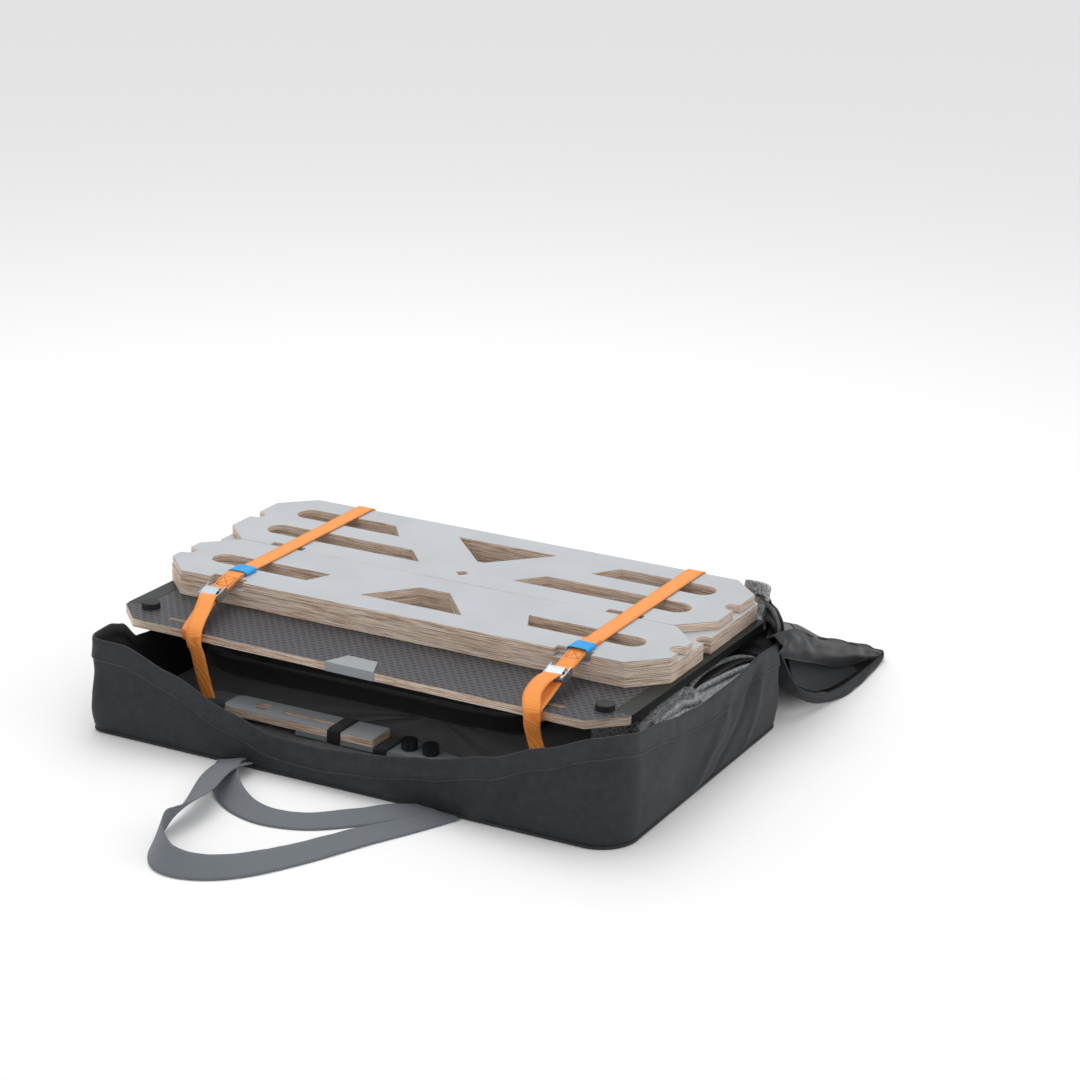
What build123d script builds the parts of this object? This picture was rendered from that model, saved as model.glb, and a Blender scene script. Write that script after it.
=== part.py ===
from build123d import *
import math
import os

# A strapped kit of camping furniture boards lying in its open carry bag.
# Millimetres, +Z up. The origin is the centre of the bag's flat base, on the ground.
# X runs along the long side of the bag, +Y towards the lid's hinge.

os.makedirs("parts", exist_ok=True)

# ---------------------------------------------------------------- driving sizes
# Bag
bag_room = 15.0  # the bag is this much longer than the boards
bag_depth = 505.0
bag_skin = 3.0
base_thickness = 4.0
base_corner = 50.0
rim_low = 52.0  # lowest point of the front panel's sagging hem
rim_left = 128.0  # front panel's hem at its left end
rim_right = 150.0  # hem at the front right corner
rim_side = 120.0  # lowest point of the right panel's hem
rim_back = 96.0  # top of the back panel, where the hinge flap starts
seam_gap = 0.3  # clearance between neighbouring sewn pieces

# Film-faced plywood
ply = 12.0
board_length = 783.0
board_corner = 46.0
front_board_depth = 160.0
back_board_depth = 215.0
front_board_x = -55.0
back_board_x = -59.0
lower_board_x = -55.0
lower_margin = 3.0  # the two lower boards are this much longer than the top ones
stack_front = -27.0  # Y of the stack's front edge
slot_width = 40.0
slot_reach = 340.0  # from a board's middle to the round end of its slots
front_slot_width = 37.0
end_notch_width = 25.0
end_notch_depth = 10.0
recess_width = 54.0
recess_depth = 12.0
recess_reach = 270.0  # from the stack's middle to a strap recess

# Deck board with its rails
deck_margin = 5.0  # the deck is this much longer than the boards
deck_depth = 460.0
deck_corner = 42.0
deck_x = -48.5
deck_y = 82.0
deck_turn = -1.0  # degrees; the deck lies slightly askew under the stack
rail_flange = 25.0
rail_skin = 1.5
deck_slot_length = 63.0
deck_slot_width = 8.0
deck_slot_x = 277.0
deck_slot_inset = 27.0
foot_radius = 13.0
foot_height = 8.5
foot_side_inset = 39.0
foot_inset = 49.0
badge_skin = 1.2

# Lower grey board
lower_grey_depth = 390.0
lower_grey_x = -60.5
lower_grey_back = 395.0

# Straps and cam buckles
strap_width = 25.0
strap_skin = 1.4
strap_clear = 0.5
strap_bend = 2.0
strap_places = {"left": -322.0, "right": 222.0}
buckle_drop = {"left": 49.0, "right": 66.0}  # from the recess to the buckle, along Y
sleeve_place = {"left": 9.0, "right": -14.0}  # Y of the keeper's middle
tail_end = {"left": 36.0, "right": 60.0}  # Z of the free end
tail_shift = {"left": 24.0, "right": 4.0}  # the tail hangs beside its strap, along X
buckle_room = 6.0  # the buckle is this much wider than its webbing
buckle_length = 32.0
buckle_plate = 1.6
buckle_ear = 13.0
pin_radius = 2.0
pin_clear = 0.08
sleeve_length = 26.0

# Contents of the bag
floor_mat = 11.5
cushion_right = 145.0
cushion_front = -28.0
cushion_top = 99.0
cover_front = -70.0
bar_length = 238.0
bar_depth = 46.0
plate_skin = 6.0
band_width = 20.0
band_skin = 1.6
knob_radius = 11.0
knob_height = 14.0
stud_radius = 3.0

# Lid and handles
hinge_y = 403.0
hinge_z = 98.0
lid_scoop = 41.0  # the lid's right end lies this far outside the bag
lid_inset = 3.0
lid_toe = 588.0
handle_width = 38.0
handle_skin = 1.8

# ---------------------------------------------------------------- derived places
lower_board_length = board_length + lower_margin
deck_length = board_length + deck_margin
bag_length = board_length + bag_room
buckle_width = strap_width + buckle_room
pack_bottom = 102.0
deck_bottom = pack_bottom + ply
deck_top = deck_bottom + ply
lower_top = deck_top + 2 * ply
stack_top = lower_top + ply
seam_y = stack_front + front_board_depth
stack_back = seam_y + back_board_depth
lower_depth = front_board_depth + back_board_depth
half_length = bag_length / 2
half_depth = bag_depth / 2
deck_plane = Plane(
    origin=(deck_x, deck_y, deck_bottom),
    x_dir=(math.cos(math.radians(deck_turn)), math.sin(math.radians(deck_turn)), 0),
    z_dir=(0, 0, 1),
)


def deck_front_at(x):
    """Y of the deck's front edge above a point of the X axis."""
    turn = math.radians(deck_turn)
    return deck_y - deck_depth / 2 / math.cos(turn) + (x - deck_x) * math.tan(turn)


def save(part, name):
    part.label = name
    export_step(part, f"parts/{name}.step")


# ---------------------------------------------------------------- board outlines
def panel(length, depth, corner, x, front):
    """A rectangle with four cut corners, its front edge at Y = front."""
    with Locations((x, front + depth / 2)):
        Rectangle(length, depth)
    chamfer(vertices(), corner)


def tapered_slot(side, x, y, width, reach, near_low, near_high):
    """A hand slot: round at its outer end and slanted at its inner end."""
    half = width / 2
    with BuildLine() as outline:
        Polyline(
            (x + side * (reach - half), y - half),
            (x + side * near_low, y - half),
            (x + side * near_high, y + half),
            (x + side * (reach - half), y + half),
        )
        ThreePointArc(
            (x + side * (reach - half), y + half),
            (x + side * reach, y),
            (x + side * (reach - half), y - half),
        )
    make_face(outline.edges(), mode=Mode.SUBTRACT)


def end_notch(x, y, length):
    """Round-ended notches in the middle of both short edges."""
    with Locations((x - length / 2, y), (x + length / 2, y)):
        SlotOverall(
            2 * end_notch_depth + end_notch_width / 2,
            end_notch_width,
            mode=Mode.SUBTRACT,
        )


def back_openings(x):
    """The back board's four slots, its triangle and its small lozenge hole."""
    upper = stack_back - 65.5
    lower = seam_y + 67.0
    for side in (-1, 1):
        tapered_slot(side, x, upper, slot_width, slot_reach, 157.0, 186.0)
        tapered_slot(side, x, lower, slot_width, slot_reach, 76.0, 110.0)
    with BuildLine() as triangle:
        Polyline(
            (x - 81.0, stack_back - 42.0),
            (x + 81.0, stack_back - 42.0),
            (x + 6.0, stack_back - 123.0),
            (x - 6.0, stack_back - 123.0),
            close=True,
        )
    make_face(triangle.edges(), mode=Mode.SUBTRACT)
    with Locations((x, seam_y + 37.0)):
        RegularPolygon(10.0, 4, mode=Mode.SUBTRACT)


def front_openings(x):
    """The front board's two slots and its trapezoid."""
    y = stack_front + 75.0
    for side in (-1, 1):
        tapered_slot(side, x, y, front_slot_width, slot_reach, 174.0, 157.0)
    with BuildLine() as trapezoid:
        Polyline(
            (x - 79.0, stack_front + 45.0),
            (x + 79.0, stack_front + 45.0),
            (x + 23.0, stack_front + 113.0),
            (x - 23.0, stack_front + 113.0),
            close=True,
        )
    make_face(trapezoid.edges(), mode=Mode.SUBTRACT)


def recesses(x, y):
    """The shallow recesses that the straps drop into."""
    with Locations((x - recess_reach, y), (x + recess_reach, y)):
        Rectangle(recess_width, 2 * recess_depth, mode=Mode.SUBTRACT)


# ---------------------------------------------------------------- the stack
with BuildPart() as top_front_board:
    with BuildSketch(Plane.XY.offset(lower_top)):
        panel(board_length, front_board_depth, board_corner, front_board_x, stack_front)
        front_openings(front_board_x)
        end_notch(front_board_x, stack_front + front_board_depth / 2, board_length)
        recesses(front_board_x, stack_front)
    extrude(amount=ply)
save(top_front_board.part, "top_front_board")

with BuildPart() as top_back_board:
    with BuildSketch(Plane.XY.offset(lower_top)):
        panel(board_length, back_board_depth, board_corner, back_board_x, seam_y)
        back_openings(back_board_x)
        end_notch(back_board_x, seam_y + back_board_depth / 2, board_length)
        recesses(back_board_x, seam_y)
    extrude(amount=ply)
save(top_back_board.part, "top_back_board")

for level, board_name in enumerate(("bottom_board", "middle_board")):
    with BuildPart() as lower_board:
        with BuildSketch(Plane.XY.offset(deck_top + level * ply)):
            panel(lower_board_length, lower_depth, board_corner, lower_board_x, stack_front)
            front_openings(front_board_x)
            back_openings(back_board_x)
            end_notch(lower_board_x, seam_y, lower_board_length)
        extrude(amount=ply)
    save(lower_board.part, board_name)

# ---------------------------------------------------------------- the deck
deck_edge = deck_length / 2 - rail_skin
deck_square = 6.0  # radius of the deck's back corners
rail_front = -deck_depth / 2 + deck_corner + 8.0
rail_back = deck_depth / 2 - deck_square - 1.0
rail_middle = (rail_front + rail_back) / 2
rail_length = rail_back - rail_front
with BuildPart() as deck_board:
    with BuildSketch(deck_plane):
        Rectangle(2 * deck_edge, deck_depth)
        chamfer(vertices().group_by(Axis.Y)[0], deck_corner)
        fillet(vertices().group_by(Axis.Y)[-1], deck_square)
        with Locations(
            (-deck_slot_x, -deck_depth / 2 + deck_slot_inset),
            (deck_slot_x, -deck_depth / 2 + deck_slot_inset),
        ):
            SlotOverall(deck_slot_length, deck_slot_width, mode=Mode.SUBTRACT)
    extrude(amount=ply)
    with BuildSketch(deck_plane.offset(ply)):
        with Locations((-deck_edge, rail_middle), (deck_edge, rail_middle)):
            Rectangle(2 * (rail_flange + seam_gap), rail_length + 2 * seam_gap)
    extrude(amount=-rail_skin - seam_gap, mode=Mode.SUBTRACT)
save(deck_board.part, "deck_board")

# Each rail covers the board's end face, and its flange lies flush in a rebate of the top.
for side, rail_name in ((-1, "left_edge_rail"), (1, "right_edge_rail")):
    with BuildPart() as rail:
        with BuildSketch(deck_plane):
            with Locations((side * (deck_edge + seam_gap + rail_skin / 2), rail_middle)):
                Rectangle(rail_skin, rail_length)
        extrude(amount=ply)
        with BuildSketch(deck_plane.offset(ply)):
            with Locations((side * (deck_edge + seam_gap - rail_flange / 2), rail_middle)):
                Rectangle(rail_flange, rail_length)
        extrude(amount=-rail_skin)
    save(rail.part, rail_name)

foot_x = deck_length / 2 - foot_side_inset
with BuildPart() as rubber_feet:
    with BuildSketch(deck_plane.offset(ply)):
        with Locations(
            (-foot_x, -deck_depth / 2 + foot_inset),
            (foot_x, -deck_depth / 2 + foot_inset),
        ):
            Circle(foot_radius)
    extrude(amount=foot_height)
    fillet(faces().sort_by(Axis.Z)[-2:].edges(), 1.5)
save(rubber_feet.part, "rubber_feet")

# The badge is a blank plate folded over the deck's front edge.
badge_bottom = 76.0
badge_top = 46.0
badge_reach = 34.0
with BuildPart() as badge_plate:
    with BuildSketch(deck_plane.offset(ply)):
        front = -deck_depth / 2
        with BuildLine():
            Polyline(
                (-badge_bottom / 2, front - badge_skin),
                (badge_bottom / 2, front - badge_skin),
                (badge_top / 2, front + badge_reach),
                (-badge_top / 2, front + badge_reach),
                close=True,
            )
        make_face()
    extrude(amount=badge_skin)
    with BuildSketch(deck_plane):
        with Locations((0, front - badge_skin / 2)):
            Rectangle(badge_bottom, badge_skin)
    extrude(amount=ply)
save(badge_plate.part, "badge_plate")

with BuildPart() as lower_grey_board:
    with BuildSketch(Plane.XY.offset(pack_bottom)):
        panel(
            board_length,
            lower_grey_depth,
            board_corner,
            lower_grey_x,
            lower_grey_back - lower_grey_depth,
        )
    extrude(amount=ply)
save(lower_grey_board.part, "lower_grey_board")

# ---------------------------------------------------------------- straps and buckles
offset_out = strap_clear + strap_skin / 2
recess_edge = stack_front + recess_depth
for name, strap_x in strap_places.items():
    deck_front = deck_front_at(strap_x)
    run = recess_edge - (deck_front - offset_out)
    fall = stack_top - deck_top
    slope = math.atan2(fall, run)
    along = Vector(0, math.cos(slope), math.sin(slope))
    square = Vector(0, -math.sin(slope), math.cos(slope))
    edge_point = Vector(strap_x, recess_edge, stack_top + offset_out)
    buckle_centre = edge_point - along * (buckle_drop[name] / math.cos(slope))
    buckle_plane = Plane(origin=buckle_centre, x_dir=(1, 0, 0), z_dir=square)
    upper_end = buckle_centre + along * (buckle_length / 2 - 3.0)
    lower_end = buckle_centre - along * (buckle_length / 2 - 6.0)

    with BuildPart() as strap_loop:
        with BuildSketch(Plane.YZ.offset(strap_x - strap_width / 2)):
            with BuildLine():
                FilletPolyline(
                    (upper_end.Y, upper_end.Z),
                    (recess_edge, stack_top + offset_out),
                    (stack_back + offset_out, stack_top + offset_out),
                    (lower_grey_back + offset_out, deck_bottom),
                    (lower_grey_back + offset_out, pack_bottom - offset_out),
                    (lower_grey_back - lower_grey_depth, pack_bottom - offset_out),
                    (deck_front - offset_out, deck_bottom - offset_out),
                    (deck_front - offset_out, deck_top + offset_out),
                    (lower_end.Y, lower_end.Z),
                    radius=strap_bend,
                )
            trace(line_width=strap_skin)
        extrude(amount=strap_width)
    save(strap_loop.part, f"{name}_strap_loop")

    # The free end leaves the buckle over its lower edge and hangs in front of the deck.
    tail_y = deck_front - 5.0
    tail_start = buckle_centre - along * (buckle_length / 2 + 1.5) + square * 6.0
    with BuildPart() as strap_tail:
        with BuildSketch(Plane.YZ.offset(strap_x + tail_shift[name] - strap_width / 2)):
            with BuildLine():
                FilletPolyline(
                    (tail_start.Y, tail_start.Z),
                    (tail_start.Y - 20.0, tail_start.Z + 1.0),
                    (tail_start.Y - 45.0, tail_start.Z - 8.0),
                    (tail_y - 4.0, deck_top + 6.0),
                    (tail_y - 6.0, deck_bottom - 20.0),
                    (tail_y - 2.0, tail_end[name]),
                    radius=8.0,
                )
            trace(line_width=strap_skin)
        extrude(amount=strap_width)
    save(strap_tail.part, f"{name}_strap_tail")

    # The keeper sleeve: a flat ring round the strap.
    sleeve_low = stack_top + strap_clear + strap_skin + 0.2
    with BuildPart() as sleeve:
        with BuildSketch(Plane.XZ.offset(-(sleeve_place[name] + sleeve_length / 2))):
            with Locations((strap_x, sleeve_low + 2.5)):
                RectangleRounded(strap_width + 4.0, 5.0, 2.4)
                RectangleRounded(strap_width + 1.0, 2.0, 0.9, mode=Mode.SUBTRACT)
        extrude(amount=sleeve_length)
    save(sleeve.part, f"{name}_strap_sleeve")

    # Buckle body: a base plate with two ears and a bar that the strap is sewn round.
    plate_low = -strap_skin / 2 - 0.2 - buckle_plate
    pin_up = 7.5
    pin_along = 2.0
    with BuildPart() as buckle_body:
        with BuildSketch(buckle_plane.offset(plate_low)):
            Rectangle(buckle_width, buckle_length)
            fillet(vertices(), 2.0)
        extrude(amount=buckle_plate)
        with BuildSketch(buckle_plane.offset(plate_low)):
            with Locations(
                (-buckle_width / 2 + 0.8, 0), (buckle_width / 2 - 0.8, 0)
            ):
                Rectangle(1.6, buckle_length - 6.0)
        extrude(amount=buckle_ear)
        pin_plane = Plane(
            origin=buckle_centre + square * pin_up + along * pin_along,
            x_dir=along,
            z_dir=(1, 0, 0),
        )
        with BuildSketch(pin_plane.offset(-buckle_width)):
            Circle(pin_radius + pin_clear)
        extrude(amount=2 * buckle_width, mode=Mode.SUBTRACT)
    save(buckle_body.part, f"{name}_buckle_body")

    with BuildPart() as cam_pin:
        with BuildSketch(pin_plane.offset(-buckle_width / 2 - 0.6)):
            Circle(pin_radius)
        extrude(amount=buckle_width + 1.2)
    save(cam_pin.part, f"{name}_cam_pin")

    # Cam lever: a toothed cam round the pin with a flat thumb plate over it.
    lever_width = buckle_width - 2 * 1.6 - 4.6
    with BuildPart() as cam_lever:
        with BuildSketch(pin_plane.offset(-lever_width / 2 - 1.8)):
            Circle(4.2)
            with BuildLine():
                Polyline(
                    (-17.0, 1.6),
                    (0.0, 4.4),
                    (4.4, 4.4),
                    (4.4, 2.4),
                    (-2.0, 2.2),
                    (-17.0, 0.0),
                    close=True,
                )
            make_face()
            Circle(pin_radius + pin_clear, mode=Mode.SUBTRACT)
        extrude(amount=lever_width)
    save(cam_lever.part, f"{name}_cam_lever")

    # Torsion spring beside the cam, wound round the pin.
    spring_turns = 3
    spring_wire = 0.4
    spring_mean = pin_radius + 0.3 + spring_wire
    spring_start = pin_plane.offset(lever_width / 2 - 1.0).origin
    spring_pitch = 2 * spring_wire + 0.1
    with BuildPart() as cam_spring:
        with BuildLine():
            wire = Helix(
                pitch=spring_pitch,
                height=spring_turns * spring_pitch,
                radius=spring_mean,
                center=spring_start,
                direction=(1, 0, 0),
            )
        with BuildSketch(Plane(origin=wire @ 0, z_dir=wire % 0)):
            Circle(spring_wire)
        sweep()
    save(cam_spring.part, f"{name}_cam_spring")

# ---------------------------------------------------------------- bag base and walls
with BuildPart() as bag_base:
    with BuildSketch():
        RectangleRounded(bag_length, bag_depth, base_corner)
    extrude(amount=base_thickness)
save(bag_base.part, "bag_base")

wall_bottom = base_thickness + seam_gap


def wall(name, plane, points):
    """A flat wall panel from its outline on the given plane."""
    with BuildPart() as panel_part:
        with BuildSketch(plane):
            with BuildLine():
                Polyline(*points, close=True)
            make_face()
        extrude(amount=bag_skin)
    save(panel_part.part, name)


wall(
    "bag_front_panel",
    Plane.XZ.offset(half_depth - bag_skin),
    [
        (-half_length, wall_bottom),
        (half_length, wall_bottom),
        (half_length, rim_right),
        (half_length - 105.0, rim_right - 27.0),
        (half_length - 270.0, rim_low + 21.0),
        (half_length - 436.0, rim_low),
        (-half_length + 292.0, rim_low),
        (-half_length + 207.0, rim_low + 29.0),
        (-half_length + 118.0, rim_left - 12.0),
        (-half_length + 60.0, rim_left),
        (-half_length, rim_left + 4.0),
    ],
)
side_reach = half_depth - bag_skin - seam_gap
wall(
    "bag_right_panel",
    Plane.YZ.offset(half_length - bag_skin),
    [
        (-side_reach, wall_bottom),
        (side_reach, wall_bottom),
        (side_reach, rim_side + 8.0),
        (side_reach - 160.0, rim_side),
        (side_reach - 260.0, rim_side),
        (-side_reach, rim_right - 4.0),
    ],
)
wall(
    "bag_left_panel",
    Plane.YZ.offset(-half_length),
    [
        (-side_reach, wall_bottom),
        (side_reach, wall_bottom),
        (side_reach, rim_back),
        (side_reach - 200.0, rim_back),
        (-side_reach + 100.0, rim_back),
        (-side_reach + 45.0, rim_left),
        (-side_reach, rim_left + 4.0),
    ],
)
wall(
    "bag_back_panel",
    Plane.XZ.offset(-half_depth),
    [
        (-half_length, wall_bottom),
        (half_length, wall_bottom),
        (half_length, rim_back),
        (-half_length, rim_back),
    ],
)

# The flap runs from the back panel's rim under the boards to the lid's hinge line.
flap_top = pack_bottom - strap_clear - strap_skin - 0.6
with BuildPart() as bag_back_flap:
    with BuildSketch(Plane.XY.offset(flap_top - bag_skin)):
        with Locations((0, (half_depth + 1.0 + hinge_y - 2.0) / 2)):
            Rectangle(bag_length, hinge_y - 2.0 - half_depth - 1.0)
    extrude(amount=bag_skin)
save(bag_back_flap.part, "bag_back_flap")

# The gusset stands up round the boards' back right corner.
gusset_top = stack_top + 2.0
with BuildPart() as bag_corner_gusset:
    with BuildSketch(Plane.XY.offset(flap_top + seam_gap)):
        with BuildLine():
            FilletPolyline(
                (half_length - 8.0, half_depth + 4.0),
                (half_length - 14.0, half_depth + 42.5),
                (half_length - 37.0, half_depth + 92.5),
                (half_length - 69.0, half_depth + 132.5),
                radius=30.0,
            )
        trace(line_width=bag_skin)
    extrude(amount=gusset_top - flap_top - seam_gap)
save(bag_corner_gusset.part, "bag_corner_gusset")

# ---------------------------------------------------------------- contents
mat_bottom = base_thickness + seam_gap
mat_top = mat_bottom + floor_mat
with BuildPart() as floor_mat_pad:
    with BuildSketch(Plane.XY.offset(mat_bottom)):
        RectangleRounded(bag_length - 16.0, bag_depth - 16.0, base_corner - 6.0)
    extrude(amount=floor_mat)
save(floor_mat_pad.part, "floor_mat")

content_bottom = mat_top + seam_gap
content_back = half_depth - bag_skin - 6.0
content_left = -half_length + bag_skin + 8.0
with BuildPart() as folded_cushion:
    with BuildSketch(Plane.XY.offset(content_bottom)):
        with Locations(
            ((content_left + cushion_right) / 2, (cushion_front + content_back) / 2)
        ):
            RectangleRounded(
                cushion_right - content_left, content_back - cushion_front, 20.0
            )
    extrude(amount=cushion_top - content_bottom)
save(folded_cushion.part, "folded_cushion")

cover_left = cushion_right + 3.0
cover_right = half_length - bag_skin - 9.0
with BuildPart() as felt_cover:
    with BuildSketch(Plane.XY.offset(content_bottom)):
        with Locations(
            ((cover_left + cover_right) / 2, (cover_front + content_back) / 2)
        ):
            RectangleRounded(
                cover_right - cover_left, content_back - cover_front, 25.0
            )
    extrude(amount=cushion_top - content_bottom)
save(felt_cover.part, "felt_cover")

# ---------------------------------------------------------------- accessory bundle
bundle_y = -137.0
plate_bottom = mat_top + band_skin + 0.5
plate_top = plate_bottom + plate_skin
bar_bottom = plate_top + seam_gap
bar_top = bar_bottom + ply
bar_left = -247.0
bar_right = bar_left + bar_length
with BuildPart() as brace_bar:
    with BuildSketch(Plane.XY.offset(bar_bottom)):
        with Locations(((bar_left + bar_right) / 2, bundle_y)):
            Rectangle(bar_length, bar_depth)
        chamfer(vertices().group_by(Axis.X)[0], 8.0)
        with Locations((bar_left + 52.0, bundle_y + 2.0)):
            RegularPolygon(12.0, 6, mode=Mode.SUBTRACT)
        with Locations((bar_left + 125.0, bundle_y - 2.0)):
            SlotOverall(78.0, 9.0, mode=Mode.SUBTRACT)
    extrude(amount=ply)
save(brace_bar.part, "brace_bar")

plate_left = bar_right - 120.0
plate_right = bar_right + 122.0
knob_places = ((bar_right + 43.0, bundle_y), (bar_right + 76.0, bundle_y - 1.0))
with BuildPart() as bracket_plate:
    with BuildSketch(Plane.XY.offset(plate_bottom)):
        with BuildLine():
            Polyline(
                (plate_left, bundle_y - bar_depth / 2),
                (plate_right - 20.0, bundle_y - bar_depth / 2),
                (plate_right, bundle_y + 6.0),
                (bar_right + 60.0, bundle_y + bar_depth / 2),
                (plate_left, bundle_y + bar_depth / 2),
                close=True,
            )
        make_face()
        with Locations(*knob_places):
            Circle(stud_radius + pin_clear, mode=Mode.SUBTRACT)
    extrude(amount=plate_skin)
save(bracket_plate.part, "bracket_plate")

with BuildPart() as corner_plate:
    with BuildSketch(Plane.XY.offset(mat_top + seam_gap)):
        with Locations((bar_left - 24.0, bundle_y + 36.0)):
            Rectangle(66.0, 30.0)
        chamfer(vertices(), 8.0)
    extrude(amount=plate_skin)
save(corner_plate.part, "corner_plate")

band_places = {"left_band": bar_right - 60.0, "right_band": bar_right + band_width / 2 + 1.0}
for name, band_x in band_places.items():
    band_low = plate_bottom - 0.3
    band_high = (bar_top if band_x < bar_right else plate_top) + 0.3
    with BuildPart() as band:
        with BuildSketch(Plane.YZ.offset(band_x - band_width / 2)):
            with Locations((bundle_y, (band_low + band_high) / 2)):
                RectangleRounded(
                    bar_depth + 0.6 + 2 * band_skin,
                    band_high - band_low + 2 * band_skin,
                    1.5,
                )
                Rectangle(bar_depth + 0.6, band_high - band_low, mode=Mode.SUBTRACT)
        extrude(amount=band_width)
    save(band.part, name)

with BuildPart() as knob_studs:
    with BuildSketch(Plane.XY.offset(mat_top + seam_gap)):
        with Locations(*knob_places):
            Circle(stud_radius)
    extrude(amount=plate_top - mat_top + 7.0)
save(knob_studs.part, "knob_studs")

knob_lobes = 6
for name, place in zip(("left_knob", "right_knob"), knob_places):
    with BuildPart() as knob:
        with BuildSketch(Plane.XY.offset(plate_top + 0.4)):
            with Locations(place):
                Circle(knob_radius)
                with PolarLocations(knob_radius + 1.2, knob_lobes):
                    Circle(3.0, mode=Mode.SUBTRACT)
        extrude(amount=knob_height)
        with BuildSketch(Plane.XY.offset(plate_top + 0.4)):
            with Locations(place):
                Circle(stud_radius + pin_clear)
        extrude(amount=8.0, mode=Mode.SUBTRACT)
    save(knob.part, name)

# ---------------------------------------------------------------- zip
chain_width = 5.0
chain_skin = 2.2
chain_z = rim_side - 8.0
chain_reach = 225.0
chain_face = half_length - bag_skin - seam_gap
with BuildPart() as zip_chain:
    with BuildSketch(Plane.XY.offset(chain_z)):
        with Locations((chain_face - chain_skin / 2, 0)):
            Rectangle(chain_skin, 2 * chain_reach)
    extrude(amount=chain_width)
save(zip_chain.part, "zip_chain")

slider_y = chain_reach - 14.0
slider_skin = 1.4
slider_face = chain_face - chain_skin - seam_gap
with BuildPart() as zip_slider:
    with BuildSketch(Plane.YZ.offset(slider_face - slider_skin)):
        with Locations((slider_y, chain_z + chain_width / 2)):
            RectangleRounded(12.0, 9.0, 2.0)
    extrude(amount=slider_skin)
    with BuildSketch(Plane.YZ.offset(slider_face - slider_skin - 1.2)):
        with Locations((slider_y, chain_z - 9.0)):
            SlotOverall(24.0, 6.0, rotation=90)
    extrude(amount=1.2)
save(zip_slider.part, "zip_slider")

# ---------------------------------------------------------------- lid
lid_left = -half_length + lid_inset
lid_right = half_length + lid_scoop
lid_middle = (lid_left + lid_right) / 2
with BuildPart() as lid_panel:
    with BuildSketch(Plane.YZ.offset(lid_left)):
        with BuildLine():
            FilletPolyline(
                (hinge_y + 1.5, hinge_z - 3.0),
                (hinge_y + 50.0, hinge_z - 28.0),
                (lid_toe - 40.0, 22.0),
                (lid_toe - 2.0, 5.0),
                radius=30.0,
            )
        trace(line_width=bag_skin)
    extrude(amount=lid_right - lid_left)
save(lid_panel.part, "lid_panel")

# The end gussets hang from the panel's short edges; the front gusset is tucked under.
with BuildPart() as lid_end_gussets:
    for gusset_x in (lid_left, lid_right - bag_skin):
        with BuildSketch(Plane.YZ.offset(gusset_x)):
            with BuildLine():
                Polyline(
                    (hinge_y + 4.0, hinge_z - 12.0),
                    (hinge_y + 6.0, 40.0),
                    (hinge_y + 30.0, 8.0),
                    (lid_toe - 40.0, 3.0),
                    (lid_toe - 42.0, 17.0),
                    (hinge_y + 50.0, hinge_z - 36.0),
                    close=True,
                )
            make_face()
        extrude(amount=bag_skin)
save(lid_end_gussets.part, "lid_end_gussets")

with BuildPart() as lid_front_gusset:
    with BuildSketch(Plane.XY.offset(0.2)):
        with Locations((lid_middle, lid_toe - 32.0)):
            Rectangle(lid_right - lid_left - 2 * bag_skin - 2.0, 56.0)
    extrude(amount=2.0)
save(lid_front_gusset.part, "lid_front_gusset")

# ---------------------------------------------------------------- handles
handle_root = -half_depth - 5.5
outer_route = [
    (-166.0, handle_root - handle_width * 0.05),
    (-140.0, -360.0),
    (-100.0, -480.0),
    (-60.0, -566.0),
    (10.0, -545.0),
    (75.0, -455.0),
    (118.0, -350.0),
    (160.0, handle_root - handle_width * 0.05),
]
inner_route = [
    (-172.0, handle_root - handle_width * 0.05),
    (-145.0, -300.0),
    (-70.0, -360.0),
    (20.0, -360.0),
    (80.0, -320.0),
    (118.0, handle_root - handle_width * 0.05),
]
routes = (("outer_handle", outer_route, 0.0), ("inner_handle", inner_route, 2.2))
for name, route, low in routes:
    with BuildPart() as handle:
        with BuildSketch(Plane.XY.offset(low)):
            with BuildLine():
                FilletPolyline(*route, radius=25.0)
            trace(line_width=handle_width)
            with Locations((0, handle_root + handle_width)):
                Rectangle(bag_length, 2 * handle_width, mode=Mode.SUBTRACT)
        extrude(amount=handle_skin)
    save(handle.part, name)
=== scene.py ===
import math

import bpy
from mathutils import Matrix, Vector, noise


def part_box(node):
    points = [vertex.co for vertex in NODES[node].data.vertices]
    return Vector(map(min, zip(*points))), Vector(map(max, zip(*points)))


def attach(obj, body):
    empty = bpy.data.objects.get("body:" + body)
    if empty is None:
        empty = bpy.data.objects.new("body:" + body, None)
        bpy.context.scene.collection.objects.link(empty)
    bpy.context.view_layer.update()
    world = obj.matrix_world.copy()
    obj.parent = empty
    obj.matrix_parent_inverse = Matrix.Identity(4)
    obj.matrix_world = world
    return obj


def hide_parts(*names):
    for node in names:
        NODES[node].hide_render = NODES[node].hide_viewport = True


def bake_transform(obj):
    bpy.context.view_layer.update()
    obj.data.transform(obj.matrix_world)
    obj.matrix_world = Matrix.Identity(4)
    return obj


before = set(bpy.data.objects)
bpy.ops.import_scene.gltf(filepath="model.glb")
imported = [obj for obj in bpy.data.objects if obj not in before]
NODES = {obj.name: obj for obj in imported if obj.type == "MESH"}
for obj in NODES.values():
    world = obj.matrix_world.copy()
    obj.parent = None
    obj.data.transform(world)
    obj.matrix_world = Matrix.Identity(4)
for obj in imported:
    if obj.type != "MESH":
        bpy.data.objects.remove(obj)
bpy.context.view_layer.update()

# A strapped kit of camping boards in its open carry bag. Metres, +Z up, the CAD frame.
# Sizes below are in millimetres and pass through mm().

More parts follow.
